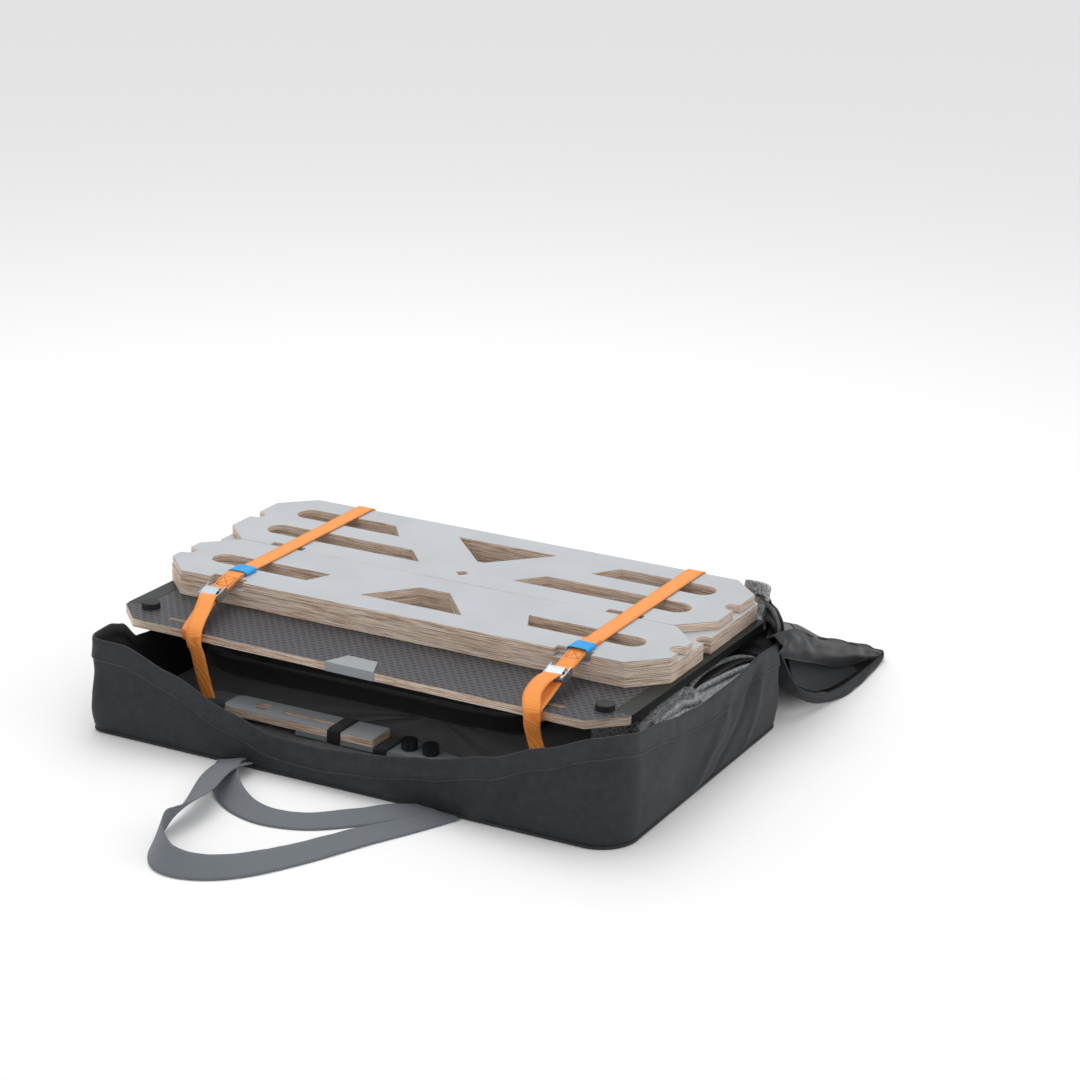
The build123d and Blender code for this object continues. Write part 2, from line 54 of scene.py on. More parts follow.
PLY = 12.0  # plywood thickness
VENEERS = 9
STRAP_CLOTH = 1.4  # thickness of the orange webbing
TAIL_HALF = 12.4  # half its width
HANDLE_HALF = 19.0
HANDLE_CLOTH = 1.7
SHEET = 1.2  # thickness of the bag's fabric
LID_SHEET = 1.4
LID_TURN = 0.82  # share of the lid's width where it folds down over its end


def mm(*sizes):
    """Millimetres to metres: one number, or a vector from three."""
    if len(sizes) == 1:
        return sizes[0] * 0.001
    return Vector(sizes) * 0.001


def node_box(name):
    """Lowest and highest corner of a CAD node in millimetres."""
    low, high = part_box(name)
    return Vector(low) * 1000, Vector(high) * 1000


# ================================================================ curves and meshes
def through(points, run):
    """A smooth curve through the points, at run 0 to 1 along it."""
    points = [Vector(p) for p in points]
    place = min(max(run, 0.0), 1.0) * (len(points) - 1)
    i = min(int(place), len(points) - 2)
    t = place - i
    before = points[max(i - 1, 0)]
    a = points[i]
    b = points[i + 1]
    after = points[min(i + 2, len(points) - 1)]
    return 0.5 * (
        2 * a
        + (b - before) * t
        + (2 * before - 5 * a + 4 * b - after) * t * t
        + (3 * a - before - 3 * b + after) * t * t * t
    )


def profile(stations, where):
    """A smooth height between (place, height) stations given in rising order."""
    if where <= stations[0][0]:
        return stations[0][1]
    for (a, low), (b, high) in zip(stations, stations[1:]):
        if where <= b:
            t = (where - a) / (b - a)
            t = 0.5 * t + 0.5 * t * t * (3 - 2 * t)
            return low + (high - low) * t
    return stations[-1][1]


def bell(value, middle, width):
    """1 at the middle, falling smoothly to 0 about one width away."""
    return math.exp(-(((value - middle) / width) ** 2) * 2)


def crumple(place, size, depth):
    """A smooth random height for cloth: folds about size wide and depth deep."""
    return depth * noise.noise(Vector(place) / size)


def make_object(name, points, faces, materials):
    """A smooth-shaded mesh object from points in millimetres."""
    mesh = bpy.data.meshes.new(name)
    mesh.from_pydata([Vector(p) * 0.001 for p in points], [], faces)
    mesh.validate()
    for material in materials:
        mesh.materials.append(material)
    for polygon in mesh.polygons:
        polygon.use_smooth = True
    obj = bpy.data.objects.new(name, mesh)
    bpy.context.scene.collection.objects.link(obj)
    return obj


def settle(obj):
    """Applies every modifier, so that the mesh itself is the finished shape."""
    graph = bpy.context.evaluated_depsgraph_get()
    finished = bpy.data.meshes.new_from_object(obj.evaluated_get(graph))
    obj.modifiers.clear()
    obj.data = finished
    return obj


def thicken(obj, thickness, offset=-1.0, inner=0):
    """Gives a one-sided sheet its thickness in millimetres."""
    solid = obj.modifiers.new("thickness", "SOLIDIFY")
    solid.thickness = mm(thickness)
    solid.offset = offset
    solid.material_offset = inner
    return settle(obj)


def cloth(name, point, columns, rows, thickness, materials, closed=False, inner=0):
    """A sheet of cloth from point(u, v), both 0 to 1, with its thickness."""
    points = []
    for i in range(columns + (0 if closed else 1)):
        for j in range(rows + 1):
            points.append(point(i / columns, j / rows))
    faces = []
    total = columns if closed else columns + 1
    for i in range(columns):
        for j in range(rows):
            a = i * (rows + 1) + j
            b = ((i + 1) % total) * (rows + 1) + j
            faces.append((a, b, b + 1, a + 1))
    obj = make_object(name, points, faces, materials)
    return thicken(obj, thickness, inner=inner)


def ribbon(name, centre, across, steps, thickness, material, columns=4, closed=False):
    """Flat webbing along centre(u), with half its width given by the vector across(u)."""

    def point(u, v):
        return centre(u) + across(u) * (2 * v - 1)

    return cloth(name, point, steps, columns, thickness, [material], closed=closed)


def tube(name, centre, radius, steps, material, sides=8, closed=False):
    """A round tube along centre(u), in millimetres, capped at open ends."""
    points = []
    count = steps if closed else steps + 1
    for i in range(count):
        u = i / steps
        here = centre(u)
        if closed:
            ahead = centre(u + 0.002) - centre(u - 0.002)
        else:
            ahead = centre(min(u + 0.002, 1.0)) - centre(max(u - 0.002, 0.0))
        ahead.normalize()
        side = ahead.cross(Vector((0.12, 0.31, 0.94)))
        side.normalize()
        up = side.cross(ahead)
        for k in range(sides):
            angle = 2 * math.pi * k / sides
            points.append(here + radius * (side * math.cos(angle) + up * math.sin(angle)))
    faces = []
    for i in range(steps):
        for k in range(sides):
            a = i * sides + k
            b = i * sides + (k + 1) % sides
            c = ((i + 1) % count) * sides + (k + 1) % sides
            d = ((i + 1) % count) * sides + k
            faces.append((a, b, c, d))
    if not closed:
        faces.append(tuple(reversed(range(sides))))
        faces.append(tuple((count - 1) * sides + k for k in range(sides)))
    return make_object(name, points, faces, [material])


def stitching(name, centre, normal, length, pitch, material, thread=0.35):
    """A row of lockstitches along centre(u): short thread grains lying on the surface."""
    count = max(int(length / pitch), 2)
    rings = ((-0.40, 0.3), (-0.25, 1.0), (0.25, 1.0), (0.40, 0.3))
    points = []
    faces = []
    for i in range(count):
        middle = (i + 0.5) / count
        here = centre(middle)
        along = centre(middle + 0.25 / count) - centre(middle - 0.25 / count)
        along.normalize()
        out = normal(middle).normalized()
        side = along.cross(out)
        first = len(points)
        for reach, size in rings:
            for k in range(5):
                angle = 2 * math.pi * k / 5
                ring = (side * math.cos(angle) + out * math.sin(angle)) * thread * size
                points.append(here + along * reach * pitch + ring)
        for r in range(3):
            for k in range(5):
                a = first + r * 5 + k
                b = first + r * 5 + (k + 1) % 5
                faces.append((a, b, b + 5, a + 5))
        faces.append(tuple(first + k for k in reversed(range(5))))
        faces.append(tuple(first + 15 + k for k in range(5)))
    return make_object(name, points, faces, [material])


def joined(name, pieces):
    """One object from several meshes."""
    points = []
    faces = []
    materials = list(pieces[0].data.materials)
    for piece in pieces:
        first = len(points)
        points += [v.co * 1000 for v in piece.data.vertices]
        faces += [tuple(first + i for i in p.vertices) for p in piece.data.polygons]
        bpy.data.objects.remove(piece)
    return make_object(name, points, faces, materials)


# ================================================================ materials
def linear(code, alpha=1.0):
    """An sRGB hex colour as linear light."""
    channels = [int(code[i : i + 2], 16) / 255 for i in (1, 3, 5)]
    return [c / 12.92 if c <= 0.04045 else ((c + 0.055) / 1.055) ** 2.4 for c in channels] + [alpha]


def add(tree, kind, values=None, links=None, stops=(), to=None, **settings):
    """Adds a node with its settings, input values, colour stops and links.

    Its first output is linked on to the input given as to.
    """
    made = tree.nodes.new(kind)
    for key, value in settings.items():
        setattr(made, key, value)
    for key, value in (values or {}).items():
        made.inputs[key].default_value = value
    for key, source in (links or {}).items():
        tree.links.new(source, made.inputs[key])
    if stops:
        elements = made.color_ramp.elements
        while len(elements) < len(stops):
            elements.new(0.5)
        for element, (where, color) in zip(elements, stops):
            element.position = where
            element.color = linear(color)
    if to is not None:
        tree.links.new(made.outputs[0], to)
    return made


def start(name, color, roughness, metallic=0.0, ior=1.5):
    """A material with its Principled shader and object coordinates in metres."""
    material = bpy.data.materials.new(name)
    material.use_nodes = True
    tree = material.node_tree
    shader = tree.nodes["Principled BSDF"]
    shader.inputs["Base Color"].default_value = linear(color)
    shader.inputs["Roughness"].default_value = roughness
    shader.inputs["Metallic"].default_value = metallic
    if metallic < 0.5:
        shader.inputs["IOR"].default_value = ior
    place = add(tree, "ShaderNodeTexCoord")
    return material, tree, shader, place


def birch_plywood(name, base_z, film, film_edge, meshed=False):
    """Film-faced birch plywood: smooth phenolic film on the faces, raw layered edges.

    The edges show nine 1.33 mm veneers, pale where the grain runs along the edge and
    browner where it is cut across, with a thin dark glue line between them.
    """
    material, tree, shader, place = start(name, film, 0.42)
    cut = add(tree, "ShaderNodeSeparateXYZ", links={"Vector": place.outputs["Object"]})
    height = add(
        tree,
        "ShaderNodeMath",
        operation="MULTIPLY_ADD",
        values={1: VENEERS / mm(PLY), 2: 10.0 * VENEERS - mm(base_z) * VENEERS / mm(PLY)},
        links={0: cut.outputs["Z"]},
    )
    streak_place = add(
        tree,
        "ShaderNodeMapping",
        values={"Scale": (1 / mm(42), 1 / mm(42), 1 / mm(1.0))},
        links={"Vector": place.outputs["Object"]},
    )
    streaks = add(
        tree,
        "ShaderNodeTexNoise",
        values={"Scale": 1.0, "Detail": 4.0, "Roughness": 0.6},
        links={"Vector": streak_place.outputs["Vector"]},
    )
    pores = add(
        tree,
        "ShaderNodeTexNoise",
        values={"Scale": 1 / mm(1.6), "Detail": 3.0, "Roughness": 0.7},
        links={"Vector": place.outputs["Object"]},
    )
    # the saw wanders a little through the veneers
    waver = add(
        tree,
        "ShaderNodeMath",
        operation="MULTIPLY_ADD",
        values={1: 0.5},
        links={0: streaks.outputs["Fac"], 2: height.outputs["Value"]},
    )
    pair = add(
        tree, "ShaderNodeMath", operation="PINGPONG", values={1: 1.0}, links={0: waver.outputs["Value"]}
    )
    veneers = add(
        tree,
        "ShaderNodeValToRGB",
        links={"Fac": pair.outputs["Value"]},
        stops=[
            (0.0, "#FFF6EC"), (0.40, "#F4E6D8"), (0.50, "#6B4E3B"), (0.60, "#D8BFA9"), (1.0, "#ECDAC8"),
        ],
    )
    grain = add(
        tree,
        "ShaderNodeValToRGB",
        links={"Fac": streaks.outputs["Fac"]},
        stops=[(0.34, "#8A6B57"), (0.46, "#E0D0C2"), (0.55, "#FFFFFF")],
    )
    speck = add(
        tree,
        "ShaderNodeValToRGB",
        links={"Fac": pores.outputs["Fac"]},
        stops=[(0.33, "#D3BFAE"), (0.52, "#FFFFFF")],
    )
    wood = add(
        tree,
        "ShaderNodeMix",
        data_type="RGBA",
        blend_type="MULTIPLY",
        values={"Factor": 0.85},
        links={"A": veneers.outputs["Color"], "B": grain.outputs["Color"]},
    )
    wood_speckled = add(
        tree,
        "ShaderNodeMix",
        data_type="RGBA",
        blend_type="MULTIPLY",
        values={"Factor": 0.45},
        links={"A": wood.outputs["Result"], "B": speck.outputs["Color"]},
    )
    # a painted shadow of the gap between the boards, under the film, shows as a dark line along each edge
    layer = add(
        tree,
        "ShaderNodeMath",
        operation="WRAP",
        values={1: VENEERS, 2: 0.0},
        links={0: height.outputs["Value"]},
    )
    gap_shadow_line = add(
        tree,
        "ShaderNodeMath",
        operation="COMPARE",
        values={1: VENEERS / 2, 2: VENEERS / 2 - 0.20},
        links={0: layer.outputs["Value"]},
    )
    edge = add(
        tree,
        "ShaderNodeMix",
        data_type="RGBA",
        values={"A": linear("#2C211B")},
        links={"Factor": gap_shadow_line.outputs["Value"], "B": wood_speckled.outputs["Result"]},
    )
    cloud = add(
        tree,
        "ShaderNodeTexNoise",
        values={"Scale": 1 / mm(90), "Detail": 3.0},
        links={"Vector": place.outputs["Object"]},
    )
    if meshed:
        # the pressed wire mesh of a grip film, drawn coarser than the real 6 by 4 mm so that it shows
        weave = add(
            tree,
            "ShaderNodeTexBrick",
            offset=0.5,
            values={
                "Scale": 1.0,
                "Brick Width": mm(12.0),
                "Row Height": mm(8.0),
                "Mortar Size": mm(3.0),
                "Mortar Smooth": 0.6,
                "Color1": linear("#0D0D0F"),
                "Color2": linear("#121214"),
                "Mortar": linear("#48484E"),
            },
            links={"Vector": place.outputs["Object"]},
        )
        face = weave.outputs["Color"]
        dimple = add(
            tree,
            "ShaderNodeMapRange",
            values={"To Min": 0.0, "To Max": 1.0},
            links={"Value": weave.outputs["Fac"]},
        )
        add(
            tree,
            "ShaderNodeBump",
            values={"Distance": mm(0.35), "Strength": 0.8},
            links={"Height": dimple.outputs["Result"]},
            to=shader.inputs["Normal"],
        )
    else:
        clouded = add(
            tree,
            "ShaderNodeValToRGB",
            links={"Fac": cloud.outputs["Fac"]},
            stops=[(0.35, film), (0.65, film_edge)],
        )
        face = clouded.outputs["Color"]
    upright = add(tree, "ShaderNodeSeparateXYZ", links={"Vector": place.outputs["Normal"]})
    steep = add(tree, "ShaderNodeMath", operation="ABSOLUTE", links={0: upright.outputs["Z"]})
    is_face = add(
        tree,
        "ShaderNodeMath",
        operation="GREATER_THAN",
        values={1: 0.75},
        links={0: steep.outputs["Value"]},
    )
    whole = add(
        tree,
        "ShaderNodeMix",
        data_type="RGBA",
        links={"Factor": is_face.outputs["Value"], "A": edge.outputs["Result"], "B": face},
    )
    tree.links.new(whole.outputs["Result"], shader.inputs["Base Color"])
    gloss = add(
        tree,
        "ShaderNodeMapRange",
        values={"To Min": 0.72, "To Max": 0.38 if not meshed else 0.5},
        links={"Value": is_face.outputs["Value"]},
    )
    tree.links.new(gloss.outputs["Result"], shader.inputs["Roughness"])
    return material


def woven(name, dark, light, thread, roughness, depth=0.12, sheen=0.06, fleck=0.5):
    """Plain-woven cloth: crossing threads, with slubs that vary its colour.

    The threads are drawn at two or three times their real 0.4 mm spacing, so that they show.
    """
    material, tree, shader, place = start(name, dark, roughness)
    shader.inputs["Sheen Weight"].default_value = sheen
    shader.inputs["Sheen Roughness"].default_value = 0.4
    threads = []
    for turn in ((1, 1, 0.2), (-0.3, 0.4, 1)):
        lines = add(
            tree,
            "ShaderNodeMapping",
            values={"Scale": tuple(t / mm(thread) for t in turn)},
            links={"Vector": place.outputs["Object"]},
        )
        wave = add(
            tree,
            "ShaderNodeTexNoise",
            values={"Scale": 1.0, "Detail": 2.0},
            links={"Vector": lines.outputs["Vector"]},
        )
        threads.append(wave.outputs["Fac"])
    crossed = add(tree, "ShaderNodeMath", operation="MAXIMUM", links={0: threads[0], 1: threads[1]})
    slub = add(
        tree,
        "ShaderNodeTexNoise",
        values={"Scale": 1 / mm(14), "Detail": 5.0, "Roughness": 0.6},
        links={"Vector": place.outputs["Object"]},
    )
    blend = add(
        tree,
        "ShaderNodeMath",
        operation="MULTIPLY_ADD",
        values={1: fleck},
        links={0: crossed.outputs["Value"], 2: slub.outputs["Fac"]},
    )
    add(
        tree,
        "ShaderNodeValToRGB",
        links={"Fac": blend.outputs["Value"]},
        stops=[(0.45 + 0.4 * fleck, dark), (0.75 + 0.5 * fleck, light)],
        to=shader.inputs["Base Color"],
    )
    add(
        tree,
        "ShaderNodeBump",
        values={"Distance": mm(depth)},
        links={"Height": crossed.outputs["Value"]},
        to=shader.inputs["Normal"],
    )
    return material


def needled_felt(name, dark, light, fibre):
    """Needled felt: short tangled fibres of light and dark wool, no direction, no gloss."""
    material, tree, shader, place = start(name, dark, 0.95)
    shader.inputs["Sheen Weight"].default_value = 0.4
    swirl = add(
        tree,
        "ShaderNodeTexNoise",
        values={"Scale": 1 / mm(fibre), "Detail": 5.0, "Roughness": 0.75, "Distortion": 1.6},
        links={"Vector": place.outputs["Object"]},
    )
    add(
        tree,
        "ShaderNodeValToRGB",
        links={"Fac": swirl.outputs["Fac"]},
        stops=[(0.42, dark), (0.60, light)],
        to=shader.inputs["Base Color"],
    )
    add(
        tree,
        "ShaderNodeBump",
        values={"Distance": mm(0.6)},
        links={"Height": swirl.outputs["Fac"]},
        to=shader.inputs["Normal"],
    )
    return material


def webbing(name, color, shade, rib, axis, roughness=0.6, glow=0.0):
    """Narrow woven webbing: ribs across its width and a fine twill within them."""
    material, tree, shader, place = start(name, color, roughness)
    shader.inputs["Sheen Weight"].default_value = 0.08
    if glow:
        shader.inputs["Subsurface Weight"].default_value = glow
        shader.inputs["Subsurface Radius"].default_value = (mm(4), mm(1.6), mm(0.6))
    ribs = add(
        tree,
        "ShaderNodeTexWave",
        wave_type="BANDS",
        bands_direction=axis,
        values={"Scale": 0.314 / mm(rib), "Distortion": 0.6, "Detail": 2.0, "Detail Scale": 2.0},
        links={"Vector": place.outputs["Object"]},
    )
    fuzz = add(
        tree,
        "ShaderNodeTexNoise",
        values={"Scale": 1 / mm(1.2), "Detail": 3.0},
        links={"Vector": place.outputs["Object"]},
    )
    mixed = add(
        tree,
        "ShaderNodeMath",
        operation="MULTIPLY_ADD",
        values={1: 0.5},
        links={0: fuzz.outputs["Fac"], 2: ribs.outputs["Fac"]},
    )
    add(
        tree,
        "ShaderNodeValToRGB",
        links={"Fac": mixed.outputs["Value"]},
        stops=[(0.15, shade), (0.85, color)],
        to=shader.inputs["Base Color"],
    )
    add(
        tree,
        "ShaderNodeBump",
        values={"Distance": mm(0.25)},
        links={"Height": mixed.outputs["Value"]},
        to=shader.inputs["Normal"],
    )
    return material


def moulded(name, color, shade, roughness, grit=0.8, depth=0.05):
    """Moulded plastic or rubber: a fine spark-eroded grain with faint clouding.

    The real grain is near 0.1 mm and is drawn coarser, so that it shows.
    """
    material, tree, shader, place = start(name, color, roughness)
    grain = add(
        tree,
        "ShaderNodeTexNoise",
        values={"Scale": 1 / mm(grit), "Detail": 3.0},
        links={"Vector": place.outputs["Object"]},
    )
    cloud = add(
        tree,
        "ShaderNodeTexNoise",
        values={"Scale": 1 / mm(14), "Detail": 3.0},
        links={"Vector": place.outputs["Object"]},
    )
    add(
        tree,
        "ShaderNodeValToRGB",
        links={"Fac": cloud.outputs["Fac"]},
        stops=[(0.35, shade), (0.65, color)],
        to=shader.inputs["Base Color"],
    )
    add(
        tree,
        "ShaderNodeBump",
        values={"Distance": mm(depth)},
        links={"Height": grain.outputs["Fac"]},
        to=shader.inputs["Normal"],
    )
    return material


def metal(name, color, shade, roughness, stretch=(1, 12, 12), metallic=1.0):
    """Plated or coated metal: fine drawn lines that catch the light."""
    material, tree, shader, place = start(name, color, roughness, metallic)
    lines = add(
        tree,
        "ShaderNodeMapping",
        values={"Scale": tuple(s / mm(6) for s in stretch)},
        links={"Vector": place.outputs["Object"]},
    )
    drawn = add(
        tree,
        "ShaderNodeTexNoise",
        values={"Scale": 1.0, "Detail": 4.0},
        links={"Vector": lines.outputs["Vector"]},
    )
    add(
        tree,
        "ShaderNodeValToRGB",
        links={"Fac": drawn.outputs["Fac"]},
        stops=[(0.35, shade), (0.65, color)],
        to=shader.inputs["Base Color"],
    )
    wear = add(
        tree,
        "ShaderNodeMapRange",
        values={"To Min": roughness - 0.08, "To Max": roughness + 0.1},
        links={"Value": drawn.outputs["Fac"]},
    )
    tree.links.new(wear.outputs["Result"], shader.inputs["Roughness"])
    add(
        tree,
        "ShaderNodeBump",
        values={"Distance": mm(0.03)},
        links={"Height": drawn.outputs["Fac"]},
        to=shader.inputs["Normal"],
    )
    return material


board_base = 102.0
bar_base = node_box("brace_bar")[0].z
GREY_PLY = birch_plywood("grey_film_birch_plywood", board_base, "#B9BDC1", "#B2B6BA")
DECK_PLY = birch_plywood("mesh_film_birch_plywood", board_base, "#46464B", "#26262A", meshed=True)
BAR_PLY = birch_plywood("grey_film_birch_plywood_bar", bar_base, "#A7ADB1", "#A0A6AA")
RAIL = metal("dark_anodised_aluminium", "#2B302F", "#222726", 0.45, (12, 1, 12), 0.35)
RUBBER = moulded("moulded_black_rubber", "#1F1F21", "#141416", 0.6)
BADGE = metal("grey_lacquered_aluminium", "#9EA3A7", "#94999D", 0.4, (1, 12, 12), 0.2)
ORANGE = webbing("orange_polyester_webbing", "#FFA54C", "#F67A18", 1.6, "Y", 0.6, 0.15)
BLUE = moulded("blue_vinyl_keeper", "#00A2EA", "#0095DC", 0.5, 0.6, 0.02)
ZINC = metal("bright_zinc_plated_steel", "#BFC6CC", "#8F979F", 0.32, (12, 1, 12))
STEEL = metal("plated_steel_pin", "#C8CCD0", "#A9AEB4", 0.3)
SHELL = woven("coated_bag_polyester", "#14161A", "#1F2329", 0.9, 0.72)
HEM = woven("folded_bag_hem", "#181A1E", "#24282E", 0.9, 0.7)
LINING = woven("black_bag_lining", "#0B0C0D", "#17181A", 1.2, 0.8)
SATIN = woven("satin_lid_lining", "#121417", "#1C2025", 0.7, 0.45, 0.05)
MAT_FELT = needled_felt("black_needled_felt", "#0E0E0F", "#2A2A2C", 2.2)
HEATHER = needled_felt("heather_grey_felt", "#34363A", "#D2D4D8", 3.0)
GREY_WEB = webbing("ribbed_grey_webbing", "#6C7177", "#555A60", 3.0, "X", 0.7)
HOOK = webbing("black_hook_and_loop_band", "#17181A", "#0D0E0F", 1.4, "Y", 0.8)
NYLON = moulded("black_moulded_nylon", "#202123", "#151618", 0.45)
BRACKET = metal("grey_powder_coated_steel", "#8B9397", "#7E868A", 0.45, (6, 6, 6), 0.1)
COIL = moulded("black_nylon_zip_coil", "#1B1C1E", "#0F1011", 0.4, 0.5, 0.03)
THREAD = moulded("dark_sewing_thread", "#55585C", "#484B4F", 0.7, 0.4, 0.02)
BLACK_THREAD = moulded("black_sewing_thread", "#1B1714", "#120F0D", 0.7, 0.4, 0.02)
RIBBED = webbing("ribbed_elastic_panel", "#2B2F32", "#0E1011", 4.2, "Y", 0.8)


def finish_node(node, material, edge=0.0):
    """A CAD node keeps its shape and takes a finish and a small worn edge radius."""
    obj = NODES[node]
    obj.data.materials.clear()
    obj.data.materials.append(material)
    if edge:
        weld = obj.modifiers.new("joined_faces", "WELD")
        weld.merge_threshold = mm(0.02)
        bevel = obj.modifiers.new("worn_edge", "BEVEL")
        bevel.width = mm(edge)
        bevel.segments = 2
        bevel.limit_method = "ANGLE"
        bevel.angle_limit = math.radians(40)
        bevel.harden_normals = True


for node in ("top_front_board", "top_back_board", "middle_board", "bottom_board", "lower_grey_board"):
    finish_node(node, GREY_PLY, 0.9)
finish_node("deck_board", DECK_PLY, 0.5)
finish_node("brace_bar", BAR_PLY)
finish_node("corner_plate", BRACKET)
finish_node("rubber_feet", RUBBER)
finish_node("badge_plate", BADGE)
finish_node("bracket_plate", BRACKET)
finish_node("knob_studs", STEEL)
for side in ("left", "right"):
    finish_node(f"{side}_edge_rail", RAIL)
    finish_node(f"{side}_buckle_body", ZINC)
    finish_node(f"{side}_cam_lever", ZINC)
    finish_node(f"{side}_cam_pin", STEEL)
    finish_node(f"{side}_cam_spring", STEEL)
    finish_node(f"{side}_knob", NYLON)


# ================================================================ camera, light, floor
AZIMUTH = math.radians(27.09)
ELEVATION = math.radians(18.648)
ROLL = math.radians(1.5)
back = Vector(
    (math.sin(AZIMUTH) * math.cos(ELEVATION), -math.cos(AZIMUTH) * math.cos(ELEVATION), math.sin(ELEVATION))
)
level = (-back).cross(Vector((0, 0, 1))).normalized()
above = level.cross(-back)
right = math.cos(ROLL) * level + math.sin(ROLL) * above
up = math.cos(ROLL) * above - math.sin(ROLL) * level
camera_data = bpy.data.cameras.new("camera")
camera_data.lens = 97.39
camera_data.sensor_width = 36.0
camera_data.clip_end = 60.0
camera = bpy.data.objects.new("camera", camera_data)
turn = Matrix((right, up, back)).transposed().to_4x4()
camera.matrix_world = Matrix.Translation(Vector((1.8067, -3.2398, 1.5249))) @ turn
bpy.context.scene.collection.objects.link(camera)
bpy.context.scene.camera = camera

floor_mesh = bpy.data.meshes.new("floor")
floor_mesh.from_pydata([(-9, -7, 0), (9, -7, 0), (9, 14, 0), (-9, 14, 0)], [], [(0, 1, 2, 3)])
floor = bpy.data.objects.new("floor", floor_mesh)
bpy.context.scene.collection.objects.link(floor)
floor_mesh.materials.append(start("pale_studio_floor", "#FAFAFA", 0.9)[0])

bpy.context.scene.view_settings.view_transform = "Standard"
world = bpy.data.worlds.new("studio")
bpy.context.scene.world = world
world.use_nodes = True
world.node_tree.nodes["Background"].inputs["Color"].default_value = (1, 1, 1, 1)
world.node_tree.nodes["Background"].inputs["Strength"].default_value = 0.80


def softbox(name, place, target, size, watts):
    """A square soft light that faces its target."""
    light_data = bpy.data.lights.new(name, "AREA")
    light_data.size = size
    light_data.energy = watts
    light = bpy.data.objects.new(name, light_data)
    light.location = place
    light.rotation_mode = "QUATERNION"
    light.rotation_quaternion = (Vector(target) - Vector(place)).to_track_quat("-Z", "Y")
    bpy.context.scene.collection.objects.link(light)


softbox("overhead_softbox", (-0.6, 0.8, 2.6), (0, 0.1, 0.1), 2.2, 26)
softbox("right_softbox", (2.6, 0.3, 1.3), (0.2, 0, 0.1), 1.4, 7)
softbox("front_softbox", (-0.4, -2.8, 1.6), (0, 0, 0.1), 1.8, 5)


# ================================================================ bag shell
base_high = node_box("bag_base")[1]
HALF_X = base_high.x
HALF_Y = base_high.y
CORNERS = (26.0, 20.0, 52.0, 26.0)  # plan radii: back left, front left, front right, back right
HEM_BAND = 30.0
FRONT_HEM = [
    (-399, 134), (-340, 133), (-265, 108), (-180, 74), (-107, 53), (-35, 51),
    (45, 59), (130, 72), (212, 92), (293, 122), (360, 148), (399, 154),
]
RIGHT_HEM = [(-252, 154), (-160, 143), (-80, 128), (0, 119), (90, 120), (170, 128), (252, 124)]
LEFT_HEM = [(-252, 134), (-200, 136), (-172, 128), (-140, 100), (-100, 96), (252, 96)]
BACK_HEM = 97.0


def outline(run):
    """Point and outward direction on the bag's plan, run 0 to 1 round from the back."""
    back_left, front_left, front_right, back_right = CORNERS
    # each side starts at a point, heads one way and ends in a quarter turn
    sides = (
        ((HALF_X - back_right, HALF_Y), (-1, 0), (0, 1), 2 * HALF_X - back_right - back_left, back_left),
        ((-HALF_X, HALF_Y - back_left), (0, -1), (-1, 0), 2 * HALF_Y - back_left - front_left, front_left),
        ((front_left - HALF_X, -HALF_Y), (1, 0), (0, -1), 2 * HALF_X - front_left - front_right, front_right),
        ((HALF_X, front_right - HALF_Y), (0, 1), (1, 0), 2 * HALF_Y - front_right - back_right, back_right),
    )
    left = (run % 1.0) * sum(side[3] + math.pi / 2 * side[4] for side in sides)
    for begin, heading, out, straight, radius in sides:
        heading = Vector((*heading, 0))
        out = Vector((*out, 0))
        begin = Vector((*begin, 0))
        if left <= straight:
            return begin + heading * left, out
        left -= straight
        if left <= math.pi / 2 * radius:
            angle = left / radius
            middle = begin + heading * straight - out * radius
            facing = out * math.cos(angle) + heading * math.sin(angle)
            return middle + facing * radius, facing
        left -= math.pi / 2 * radius
    return outline(0.0)


def hem_height(place, out):
    """Height of the bag's rim above the ground at a point of its plan."""
    front = profile(FRONT_HEM, place.x)
    right = profile(RIGHT_HEM, place.y)
    left = profile(LEFT_HEM, place.y)
    weights = (max(-out.y, 0) ** 2, max(out.x, 0) ** 2, max(-out.x, 0) ** 2, max(out.y, 0) ** 2)
    heights = (front, right, left, BACK_HEM)
    return sum(w * h for w, h in zip(weights, heights)) / sum(weights)


def wall_point(run, share, lift=0.0):
    """A point of the bag's wall: share 0 at the ground to 1 at the rim, lifted outwards."""
    place, out = outline(run)
    top = hem_height(place, out)
    z = share * top
    front = max(-out.y, 0.0)
    side = max(out.x, 0.0)
    # cloth bellies out above its bottom seam and leans back in under the hem
    belly = 5.0 * math.sin(math.pi * min(share * 1.1, 1.0)) * (front + side)
    seam = -4.0 * math.exp(-z / 5.0)
    slack = math.sin(math.pi * min(share, 1.0)) ** 0.7
    folds = crumple((place.x, place.y * 1.3, z * 2.2), 110.0, 5.0)
    folds += crumple((place.x + z * 0.8, place.y + z, z * 0.7), 45.0, 1.4)
    folds += crumple((place.x, place.y, z), 17.0, 0.35)
    # long creases: down from the rim at the right of the front, and across the right wall
    crease = -5.0 * front * bell(place.x - (z - 60) * 0.5, 250.0, 16.0) * slack
    crease += 4.0 * front * bell(place.x - (z - 60) * 0.5, 222.0, 20.0) * slack
    crease += 4.0 * side * bell(place.y - z * 1.1, -40.0, 22.0) * slack
    crease -= 4.0 * side * bell(place.y - z * 1.3, 20.0, 18.0) * slack
    crease += 3.5 * side * bell(place.y - z * 0.5, 120.0, 16.0) * slack
    out_by = belly + seam + folds * slack + crease + lift
    return Vector((place.x, place.y, max(z, 0.6))) + out * min(out_by, 9.0)


bag_walls = cloth(
    "bag_walls",
    wall_point,
    560,
    34,
    SHEET,
    [SHELL, LINING],
    closed=True,
    inner=1,
)


